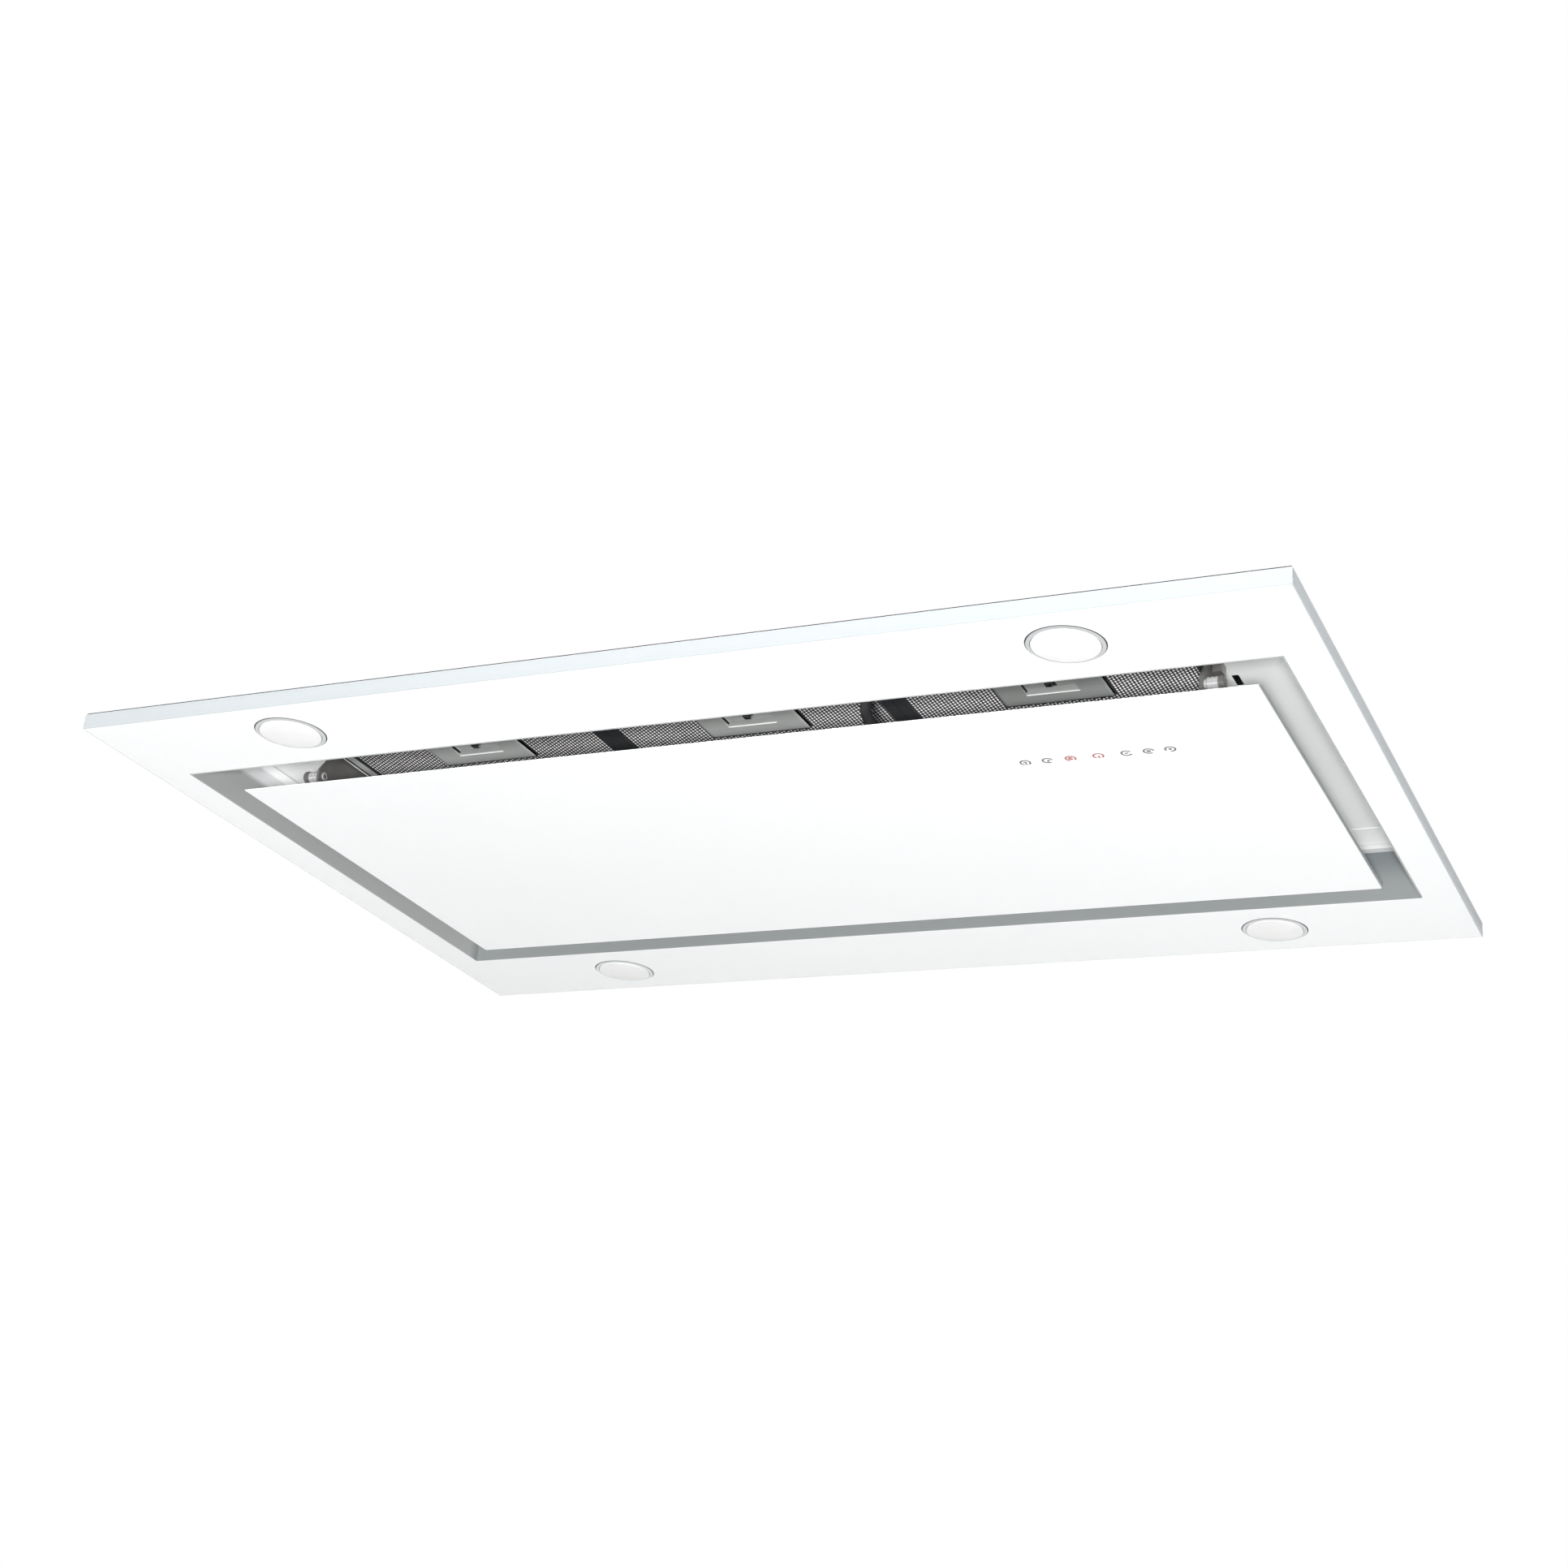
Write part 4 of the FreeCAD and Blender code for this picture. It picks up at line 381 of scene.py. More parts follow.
def makeRolledMetal():
    # rolled or brushed metal: noise drawn out along x, so that streaks cross in tone, gloss and height
    group, given, place = startGroup("rolledMetal", {
        "Tone": (0.7, 0.7, 0.7, 1), "Second Tone": (0.6, 0.6, 0.6, 1), "Streaks": 400.0,
        "Gloss Low": 0.25, "Gloss High": 0.4})
    long = addNode(group, "Mapping", Vector=place, Scale=(0.03, 1.0, 1.0)).outputs["Vector"]
    streaks = addNode(group, "TexNoise", Vector=long, Scale=given["Streaks"], Detail=4.0, Roughness=0.65)
    streaks = streaks.outputs["Fac"]
    cloud = addNode(group, "TexNoise", Vector=place, Scale=9.0, Detail=3.0).outputs["Fac"]
    both = reckoned(group, "MULTIPLY", streaks, cloud)
    spread = ranged(group, both, From_Min=0.12, From_Max=0.4)
    tone = mixed(group, spread, given["Second Tone"], given["Tone"])
    gloss = ranged(group, streaks, To_Min=given["Gloss High"], To_Max=given["Gloss Low"])
    return endGroup(group, Color=tone, Roughness=gloss, Height=streaks)


def makeZincFlakes():
    # hot-dip zinc: each Voronoi cell is one crystal with its own tone and gloss, edges a little darker
    group, given, place = startGroup("zincFlakes", {
        "Tone": (0.66, 0.68, 0.69, 1), "Second Tone": (0.5, 0.52, 0.54, 1), "Flakes": 110.0})
    bend = addNode(group, "TexNoise", Vector=place, Scale=60.0, Detail=2.0)
    shifted = addNode(group, "Mix", {"data_type": "VECTOR"}, i0=0.012, i4=place, i5=bend.outputs["Color"])
    cells = addNode(group, "TexVoronoi", Vector=shifted.outputs[1], Scale=given["Flakes"])
    parts = addNode(group, "SeparateColor", Color=cells.outputs["Color"])
    tone = mixed(group, parts.outputs["Red"], given["Tone"], given["Second Tone"])
    gloss = ranged(group, parts.outputs["Green"], To_Min=0.3, To_Max=0.52)
    return endGroup(group, Color=tone, Roughness=gloss, Height=cells.outputs["Distance"])


finePaint, rolledMetal, zincFlakes = makeFinePaint(), makeRolledMetal(), makeZincFlakes()


def makeFinish(name, group, tone, second, gloss=None, metallic=0.0, relief=0.0, **more):
    # a material: one effect group feeds the shader's colour, roughness and bump. a further value goes
    # to the group's input of that name, or else to the shader's own
    material = bpy.data.materials.new(name)
    material.use_nodes = True
    tree = material.node_tree
    surface = tree.nodes["Principled BSDF"]
    effect = tree.nodes.new("ShaderNodeGroup")
    effect.node_tree = group
    values = {"Tone": (*tone, 1), "Second_Tone": (*second, 1), "Metallic": metallic, **more}
    if gloss:
        values.update(Gloss_Low=gloss[0], Gloss_High=gloss[1])
    for key, value in values.items():
        label = key.replace("_", " ")
        (effect if label in effect.inputs else surface).inputs[label].default_value = value
    tree.links.new(effect.outputs["Color"], surface.inputs["Base Color"])
    tree.links.new(effect.outputs["Roughness"], surface.inputs["Roughness"])
    if relief:
        bump = addNode(tree, "Bump", Strength=0.4, Distance=relief, Height=effect.outputs["Height"])
        tree.links.new(bump.outputs["Normal"], surface.inputs["Normal"])
    return material


# one finish for each material slot of the record: its two tones, its gloss, and what else it needs
finishes = {
    "white_glass": makeFinish(
        "whiteGlass", finePaint, (0.89, 0.90, 0.905), (0.88, 0.895, 0.90), (0.05, 0.07),
        Drift=2.0, Grain=300.0, Specular_IOR_Level=0.4),
    "white_steel": makeFinish(
        "whitePowderCoat", finePaint, (0.50, 0.53, 0.545), (0.475, 0.505, 0.52), (0.28, 0.36),
        relief=0.0001, Drift=5.0, Grain=1400.0, Specular_IOR_Level=0.05),
    "grey_steel": makeFinish(
        "greyPowderCoat", finePaint, (0.64, 0.665, 0.65), (0.60, 0.625, 0.615), (0.3, 0.4),
        relief=0.00012, Drift=4.0, Grain=1500.0),
    "zinc_steel": makeFinish(
        "galvanisedSheet", zincFlakes, (0.62, 0.64, 0.655), (0.47, 0.49, 0.51),
        metallic=0.85, relief=0.00008, Flakes=95.0),
    "chrome_ring": makeFinish(
        "polishedRing", finePaint, (0.70, 0.71, 0.72), (0.60, 0.61, 0.62), (0.10, 0.18),
        metallic=1.0, Drift=40.0),
    "clear_lens": makeFinish(
        "frostedLens", finePaint, (0.97, 0.97, 0.965), (0.86, 0.865, 0.86), (0.12, 0.3),
        relief=0.0006, Drift=55.0, Grain=1300.0, Transmission_Weight=0.1, IOR=1.49),
    "circuit_board": makeFinish(
        "greenBoard", finePaint, (0.03, 0.17, 0.08), (0.05, 0.24, 0.11), (0.22, 0.35),
        relief=0.0001, Drift=120.0),
    "black_aluminium": makeFinish(
        "blackAnodised", rolledMetal, (0.06, 0.06, 0.065), (0.035, 0.035, 0.04), (0.3, 0.42),
        metallic=0.6),
    "spring_steel": makeFinish(
        "springSteel", rolledMetal, (0.58, 0.585, 0.6), (0.45, 0.455, 0.47), (0.2, 0.33), metallic=1.0),
    "black_plastic": makeFinish(
        "blackMoulding", finePaint, (0.03, 0.03, 0.033), (0.045, 0.045, 0.05), (0.38, 0.52),
        relief=0.0001, Drift=20.0, Grain=1800.0),
    "dark_steel": makeFinish(
        "darkPhosphate", finePaint, (0.20, 0.195, 0.19), (0.30, 0.29, 0.28), (0.25, 0.38),
        metallic=0.55, relief=0.0001, Drift=60.0, Grain=1200.0),
    "chrome_steel": makeFinish(
        "chromedSteel", finePaint, (0.93, 0.93, 0.94), (0.84, 0.84, 0.85), (0.12, 0.2),
        metallic=0.6, Drift=30.0),
    "grey_plastic": makeFinish(
        "greyMoulding", finePaint, (0.43, 0.45, 0.47), (0.4, 0.42, 0.44), (0.4, 0.52),
        relief=0.0001, Drift=15.0, Grain=1500.0),
    "bright_steel": makeFinish(
        "brightZincPlate", rolledMetal, (0.72, 0.73, 0.74), (0.6, 0.61, 0.62), (0.2, 0.32), metallic=1.0),
    "motor_enamel": makeFinish(
        "greyEnamel", finePaint, (0.28, 0.29, 0.31), (0.25, 0.26, 0.28), (0.3, 0.42),
        relief=0.0002, Grain=700.0),
    "black_rubber": makeFinish(
        "blackRubber", finePaint, (0.03, 0.03, 0.03), (0.045, 0.045, 0.045), (0.6, 0.75),
        relief=0.0002, Drift=40.0, Grain=1000.0),
    "white_plastic": makeFinish(
        "whiteMoulding", finePaint, (0.82, 0.83, 0.83), (0.79, 0.8, 0.8), (0.3, 0.4),
        relief=0.0001, Drift=12.0, Grain=1300.0),
    "grey_sheath": makeFinish(
        "leadSheath", finePaint, (0.018, 0.018, 0.02), (0.026, 0.026, 0.028), (0.42, 0.52),
        relief=0.0001, Drift=30.0),
    "filter_aluminium": makeFinish(
        "filterRail", rolledMetal, (0.085, 0.09, 0.095), (0.06, 0.063, 0.068), (0.38, 0.5), metallic=0.4),
    "filter_mesh": makeFinish(
        "filterMesh", rolledMetal, (0.95, 0.935, 0.94), (0.84, 0.825, 0.83), (0.35, 0.5), metallic=0.1),
    "filter_plate": makeFinish(
        "satinPlate", rolledMetal, (0.64, 0.655, 0.64), (0.57, 0.585, 0.57), (0.4, 0.5),
        metallic=0.1, Streaks=600.0),
}
for row in frame["record"]["subparts"]:
    mesh = nodes[row["node"]].data
    mesh.materials.clear()
    mesh.materials.append(finishes[row["material_slot"]])


def recessPaint(name, tone, second):
    # the grey coat of the recess in one of its lit and shaded copies: painted light on the pale one, painted
    # shade on the darker ones
    return makeFinish(name, finePaint, tone, second, (0.3, 0.4), relief=0.0001, Drift=4.0, Grain=1500.0)


# the pale copy is painted light; the band and bevel copies are painted shade
litPlatePaint = recessPaint("litPlatePaint", (0.95, 0.96, 0.95), (0.92, 0.935, 0.925))
shadedBandPaint = recessPaint("shadedBandPaint", (0.38, 0.39, 0.395), (0.34, 0.35, 0.355))
shadedBevelPaint = recessPaint("shadedBevelPaint", (0.60, 0.61, 0.605), (0.56, 0.57, 0.565))
printedGrey = makeFinish("printedGrey", finePaint, (0.07, 0.07, 0.075), (0.07, 0.07, 0.075))
printedRed = makeFinish("printedRed", finePaint, (0.36, 0.06, 0.04), (0.36, 0.06, 0.04))
ledYellow = makeFinish("ledPhosphor", finePaint, (0.85, 0.72, 0.2), (0.85, 0.7, 0.16))
brightWhite = makeFinish("reflectorWhite", finePaint, (0.94, 0.95, 0.95), (0.93, 0.94, 0.94), (0.2, 0.4))
# near black painted shade for the handle's latch guide and the pocket's left wall
guideShadowPaint = makeFinish("guideShadow", finePaint, (0.012, 0.012, 0.012), (0.02, 0.02, 0.02), (0.6, 0.7))
pocketShade = makeFinish("pocketShade", finePaint, (0.28, 0.285, 0.28), (0.24, 0.245, 0.24), (0.4, 0.5))
glassEdge = makeFinish("glassEdge", finePaint, (0.50, 0.53, 0.545), (0.47, 0.50, 0.515), (0.12, 0.2),
                       Drift=3.0, Specular_IOR_Level=0.05)
# painted shade for the holes of the aluminium filter mesh
meshShadowPaint = makeFinish("meshShadowPaint", rolledMetal, (0.09, 0.085, 0.09), (0.05, 0.048, 0.05), (0.35, 0.4),
                      metallic=0.3)
shadedPlate = makeFinish("shadedPlate", rolledMetal, (0.47, 0.49, 0.475), (0.36, 0.375, 0.36), (0.4, 0.5),
                         metallic=0.1, Streaks=600.0)

# the walls' tones: a darker copy of the recess coat, a darker tone for painted shade and a paler one for
# painted light
wallTones = {"coat": (0.42, 0.435, 0.43), "second": (0.39, 0.405, 0.40), "grease": (0.36, 0.38, 0.40, 1),
             "greaseShare": (0.62, 1.0), "pale": (0.80, 0.81, 0.82, 1)}


def makeWallPaint():
    # the recess walls: a darker copy of the grey coat, as painted shade; more painted shade darkens the far
    # wall, most of all at its upper bend, and painted light makes the left wall paler near the plate
    paint = recessPaint("wallPaint", wallTones["coat"], wallTones["second"])
    tree = paint.node_tree
    surface = tree.nodes["Principled BSDF"]
    bare = surface.inputs["Base Color"].links[0].from_socket
    place = addNode(tree, "SeparateXYZ", Vector=addNode(tree, "TexCoord").outputs["Object"]).outputs
    high = ranged(tree, place["Z"], soft=True, From_Min=0.012, From_Max=0.0425)
    far = ranged(tree, place["Y"], From_Min=0.195, From_Max=0.207)
    least, most = wallTones["greaseShare"]
    # painted shade over the far wall, strongest at its upper bend
    paintedShadeMask = reckoned(tree, "MULTIPLY", ranged(tree, high, To_Min=least, To_Max=most), far)
    greased = mixed(tree, paintedShadeMask, bare, wallTones["grease"], "MULTIPLY")
    # painted light on the left wall near the plate
    upper = ranged(tree, place["Z"], soft=True, From_Min=0.028, From_Max=0.034)
    left = ranged(tree, place["X"], From_Min=-0.412, From_Max=-0.419)
    tone = mixed(tree, reckoned(tree, "MULTIPLY", upper, left), greased, wallTones["pale"])
    tree.links.new(tone, surface.inputs["Base Color"])
    return paint


wallPaint = makeWallPaint()
print("ceiling hood: finishes made")


def addPiece(name, body, replaced, slotName, shape, material=None, smooth=None, tidy=True, paints=()):
    # a finished piece in its slot's finish or another: it moves with its body, may stand for a plain CAD
    # node, and its paints are pairs of a material and a test that picks faces
    piece = makePiece(name, shape, material or finishes[slotName], smooth, tidy)
    for paint, chosen in paints:
        paintWhere(piece, paint, chosen)
    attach(piece, body)
    if replaced:
        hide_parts(replaced)
    return piece


glass = {"halfX": 450, "halfY": 300, "corner": 1.2, "low": 2.5, "high": 6.5, "opening": (421.5, 210, 0.2),
         "arris": 0.7, "arrisRise": 0.16, "lampX": 295, "lampY": 256.5, "lampHole": 26.3}


# outlines as functions of the distance that they are moved into the sheet


def rectangle(halfX, halfY, radius):
    return lambda inset: roundedRect(halfX - inset, halfY - inset, max(radius - inset, 0.06))


def hole(halfX, halfY, radius, x=0, y=0):
    return lambda inset: roundedRect(halfX + inset, halfY + inset, radius + inset) + (x, y)


def roundHole(x, y, radius, count=72):
    return lambda inset: ringPoints(radius + inset, count) + (x, y)


def glassFrame():
    # the sheet with its opening and four lamp holes; its side faces and outer arris show the glass's edge
    halfX, halfY, x, y = glass["halfX"], glass["halfY"], glass["lampX"], glass["lampY"]
    outlines = [rectangle(halfX, halfY, glass["corner"]), hole(*glass["opening"])]
    outlines += [roundHole(lampX, lampY, glass["lampHole"]) for lampX in (-x, x) for lampY in (-y, y)]
    sheet = sheetWithHoles(outlines, glass["low"], glass["high"], glass["arris"], glass["arrisRise"])

    def isEdge(middle, normal):
        outer = (np.abs(middle[:, 0]) > halfX - 1) | (np.abs(middle[:, 1]) > halfY - 1)
        upright = np.abs(normal[:, 2])
        return (upright < 0.5) | ((upright < 0.99) & outer)

    addPiece("glassFrame", "hood", "glass_frame", "white_glass", sheet, paints=[(glassEdge, isEdge)])


panel = {"left": -392.6, "right": 397.6, "depth": 179.0, "corner": 1.2, "edge": 0.4, "slope": 7.4,
         "low": 0.05, "high": 4.0, "tray": (384.5, 167.0, 4.0), "trayHigh": 10.0, "trayFloor": 5.0,
         "trayWall": 1.2, "traySlope": 8.4}


def panelGlassAndTray():
    # both are outlines set one above another; the near side slopes back as it rises, so that it doesn't
    # narrow the gap in front of the filters
    centre, half = (panel["left"] + panel["right"]) / 2, (panel["right"] - panel["left"]) / 2
    low, edge, high, slope = panel["low"], panel["edge"], panel["high"], panel["slope"]

    def outline(inset, back):
        shape = roundedRect(half - inset, panel["depth"] - back / 2 - inset, panel["corner"])
        return shape + (centre, back / 2)

    rows = [outline(edge, 0), outline(0, 0), outline(0, slope), outline(edge, slope + edge)]
    sheet = stacked(rows, [low, low + edge, high - edge, high])
    isEnd = lambda middle, normal: np.abs(normal[:, 0]) > 0.6
    addPiece("panelGlass", "panel", "panel_glass", "white_glass", sheet, paints=[(glassEdge, isEnd)])

    wide, deep, corner = panel["tray"]
    top, floor, wall = panel["trayHigh"], panel["trayFloor"], panel["trayWall"]
    rows = [(0.3, high), (0, high + 0.3), (0, top - 0.3), (0.3, top),
            (wall - 0.3, top), (wall, top - 0.3), (wall, floor + 0.4), (wall + 0.4, floor)]
    pan = []
    for inset, level in rows:
        back = panel["traySlope"] * (level - high) / (top - high)
        pan.append(roundedRect(wide - inset, deep - back / 2 - inset, corner) + (0, back / 2))
    addPiece("panelTray", "panel", "panel_tray", "zinc_steel", stacked(pan, [level for _, level in rows]))


icons = {"row": -97.5, "ring": 3.5, "line": 1.25, "red": (2, 3),
         "places": (211.3, 227.6, 244.2, 264.2, 284.3, 300.0, 315.1),
         "open": ((120, 420), (60, 350), (110, 410), (125, 415), (30, 330), (60, 360), (150, 460))}


def touchIcons():
    # seven round touch marks: an open ring each, with a small sign inside, printed under the glass
    bar = lambda x0, y0, x1, y1: np.linspace((x0, y0), (x1, y1), 3)
    signs = [
        [bar(0, 0.6, 0, 3.4), bar(-1.2, -0.6, 1.2, -0.6)],
        [bar(0, 0, 0, 2.0), bar(0, 0, 1.7, 0)],
        [arc(1.5, 20, 200, 10), arc(1.5, 215, 330, 8), bar(0, -0.4, 0, 0.5)],
        [bar(0, 0.2, 0, 3.6)],
        [bar(-1.3, 0, 1.3, 0)],
        [arc(1.0, 0, 350, 14)],
        [bar(-1.2, 0, 1.2, 0), bar(0, -1.2, 0, 1.2)],
    ]
    grey, red = [], []
    for index, (x, sign, ends) in enumerate(zip(icons["places"], signs, icons["open"])):
        lines = [arc(icons["ring"], *ends, 40)] + sign
        shapes = [moved(stroke(line, icons["line"], 0.0, panel["low"]), x, icons["row"]) for line in lines]
        (red if index in icons["red"] else grey).extend(shapes)
    for name, shapes, ink in (("touchMarksGrey", grey, printedGrey), ("touchMarksRed", red, printedRed)):
        addPiece(name, "panel", None, "white_glass", joinShapes(shapes), ink)


glassFrame()
panelGlassAndTray()
touchIcons()
print("ceiling hood: glass made")

recess = {"halfX": 420.2, "halfY": 208.7, "low": 2.5, "bend": 42.5, "bevel": 5.0, "toneChange": 0.45,
          "sheet": 1.0, "ledge": 7.2, "flange": 9.3, "flangeLow": 14.1, "corner": 1.5,
          "seam": 172.0, "seamWidth": 0.8, "plateEdge": 0.12, "bay": (348.8, 150.8), "notch": (6.8, 8.0),
          "notchPlaces": (-232, 0, 232), "slot": (2.5, 8.5, 0.4, 360, -95), "leadHole": (128, -170, 6.25)}
recess["level"] = recess["bend"] + recess["bevel"]  # the plate's lower face


def recessWalls():
    # the folded wall's section, as (distance in from its inner face, height, length cut back) rows,
    # softened and carried round the opening
    sheet, low, level = recess["sheet"], recess["low"], recess["level"]
    bend, bevel, ledge = recess["bend"], recess["bevel"], recess["ledge"]
    flange, flangeLow, change = recess["flange"], recess["flangeLow"], recess["bevel"] * recess["toneChange"]
    section = softened([
        (0, low, 0.3), (0, bend, 1.4), (change, bend + change, 0.05), (bevel, level, 1.4),
        (ledge, level, 0.1), (ledge, level + sheet, 0.1), (bevel - 0.4, level + sheet, 1.8),
        (-sheet, bend + 0.4, 1.8), (-sheet, flangeLow + sheet, 0.4), (-flange, flangeLow + sheet, 0.2),
        (-flange, flangeLow, 0.2), (-sheet, flangeLow, 0.4), (-sheet, low, 0.3)])
    halfX, halfY = recess["halfX"], recess["halfY"]
    radii = np.clip(recess["corner"] - section[:, 0], 0.4, 3)
    rings = [roundedRect(halfX - d, halfY - d, radius, 4) for d, radius in zip(section[:, 0], radii)]
    faces = [gridFaces(len(section), len(rings[0]), wrapRows=True, wrapColumns=True)]

    def isBand(middle, normal):
        x, y, z = np.abs(middle[:, 0]), np.abs(middle[:, 1]), middle[:, 2]
        return (x < halfX + 0.01) & (y < halfY + 0.01) & (z > bend - 0.3)

    def isBevel(middle, normal):
        z = middle[:, 2]
        return isBand(middle, normal) & (z > bend + change) & (z < level + 0.1) & (normal[:, 2] < -0.2)

    def isPlate(middle, normal):
        ledgeFace = (middle[:, 2] > level - 0.1) & (normal[:, 2] < -0.9)
        return ledgeFace | (isBand(middle, normal) & (middle[:, 0] < 6 - halfX) & (normal[:, 0] > 0.5))

    # painted shade on the band and the bevel, painted light on the ledge and on the left wall next to the
    # plate
    paints = [(shadedBandPaint, isBand), (shadedBevelPaint, isBevel), (litPlatePaint, isPlate)]
    addPiece("recessWalls", "hood", "recess_tray", "grey_steel", (atLevels(rings, section[:, 1]), faces),
             wallPaint, smooth=30, paints=paints)


def bayOutline(inset):
    # the opening for the filters, with a notch at its near side for each latch; inset widens it
    x, y = recess["bay"][0] + inset, recess["bay"][1] + inset
    wide, deep = recess["notch"][0] + inset, recess["notch"][1]
    points = []
    for centre in recess["notchPlaces"]:
        left, right = centre - wide, centre + wide
        points += [(left, -y), (left, -y - deep), (right, -y - deep), (right, -y)]
    return np.array([(-x, y), (-x, -y), *points, (x, -y), (x, y)], float)


def recessPlate():
    # the plate round the filters, and a narrow strip beyond the seam that runs along its far side
    low, high = recess["level"], recess["level"] + recess["sheet"]
    x, y = recess["halfX"] - recess["ledge"], recess["halfY"] - recess["ledge"]
    seam, gap = recess["seam"], recess["seamWidth"] / 2

    def strip(near, far):
        return lambda inset: roundedRect(x - inset, (far - near) / 2 - inset, 0.3) + (0, (far + near) / 2)

    main = [strip(-y, seam - gap), bayOutline, hole(*recess["slot"]), roundHole(*recess["leadHole"])]
    # the plate and its strip take the pale copy of the coat, as painted light
    for name, outlines in (("recessPlate", main), ("recessStrip", [strip(seam + gap, y)])):
        sheet = sheetWithHoles(outlines, low, high, recess["plateEdge"])
        addPiece(name, "hood", "recess_tray", "grey_steel", sheet, litPlatePaint)


recessWalls()
recessPlate()
print("ceiling hood: recess made")

lamp = {"base": 2.5, "ring": 25.6, "lens": 22.4, "play": 0.15, "dome": 0.9, "dish": 0.35, "chipCircle": 12,
        "chip": (1.5, 1.5, 7.0, 8.0, 0.3, 0.15),
        "cup": ((24.5, 0.95), (22.2, 1.0), (21.0, 5.5), (17.0, 7.95), (17.2, 8.0), (24.6, 8.0)),
        "board": ((0, 8.0), (24.6, 8.0), (24.6, 9.6), (0, 9.6))}


def lampParts():
    # each part is turned about the lamp's own axis; a chip is a small square of phosphor on the board
    r, inner = lamp["ring"], lamp["lens"] + lamp["play"]
    ring = [(inner, -0.15), (inner + 0.4, -0.6), (inner + 1.5, -0.75), (r - 0.7, -0.6), (r - 0.15, -0.3),
            (r, 0.15), (r, 14.0), (24.7, 14.0), (24.7, 0.9), (inner, 0.9)]
    radius = np.linspace(0, lamp["lens"], 14)
    fromAxis = (radius / lamp["lens"]) ** 2
    below, above = -1 - lamp["dome"] * (1 - fromAxis), 0.1 + lamp["dish"] * fromAxis
    lens = np.concatenate([np.column_stack((radius, below)), np.column_stack((radius, above))[::-1]])
    boards = joinShapes([turned(lamp["cup"], 72), turned(lamp["board"], 72, closed=False)])
    centres = np.concatenate([[(0, 0)], ringPoints(lamp["chipCircle"], 6)])
    chips = joinShapes([moved(slab(*lamp["chip"]), x, y) for x, y in centres])
    parts = [("lampRings", "lamp_bezels", "chrome_ring", turned(ring, 96), None, 40),
             ("lampLenses", "lamp_lenses", "clear_lens", turned(lens, 96, closed=False), None, 40),
             ("lampBoards", "lamp_boards", "circuit_board", boards, brightWhite, 40),
             ("lampChips", None, "circuit_board", chips, ledYellow, None)]
    for name, replaced, slotName, shape, material, smooth in parts:
        placed = fourCorners(moved(shape, glass["lampX"], glass["lampY"], lamp["base"]))
        addPiece(name, "hood", replaced, slotName, placed, material, smooth)


lampParts()
print("ceiling hood: lamps made")

filters = {"places": {"1": -232.0, "2": 0.0, "3": 232.0}, "halfWidth": 109.5, "halfLength": 143.8,
           "low": 48.5, "seatX": 40.3, "seatY": -90.7, "columns": 40, "rows": 41,
           "pitchX": 2.7, "pitchY": 3.45,
           "wire": (0.6, 0.4, 0.85), "crossWire": (0.42, 0.2, 1.1),  # width, height, how far above low
           "sheet": (1.2, 1.5), "knot": (1.1, 0.66), "knotReach": (106, 140), "seatGap": 1.1}


def domes(x, y, base, radius, rise, sides=6):
    # many small caps that hang from one level: an outer ring, a smaller ring further down and a tip each
    ring = atLevel(ringPoints(1, sides), 0)
    cap = np.concatenate([ring * radius, ring * radius * 0.66 - (0, 0, rise * 0.68), [(0, 0, -rise)]])
    points = cap[None] + np.column_stack((x, y, np.full(len(x), base)))[:, None]
    here = np.arange(sides)
    after = (here + 1) % sides
    quads = np.column_stack((here, here + sides, after + sides, after))
    tips = np.column_stack((here + sides, np.full(sides, 2 * sides), after + sides))
    starts = (np.arange(len(x)) * len(cap))[:, None, None]
    return points.reshape(-1, 3), [(starts + quads).reshape(-1, 4), (starts + tips).reshape(-1, 3)]


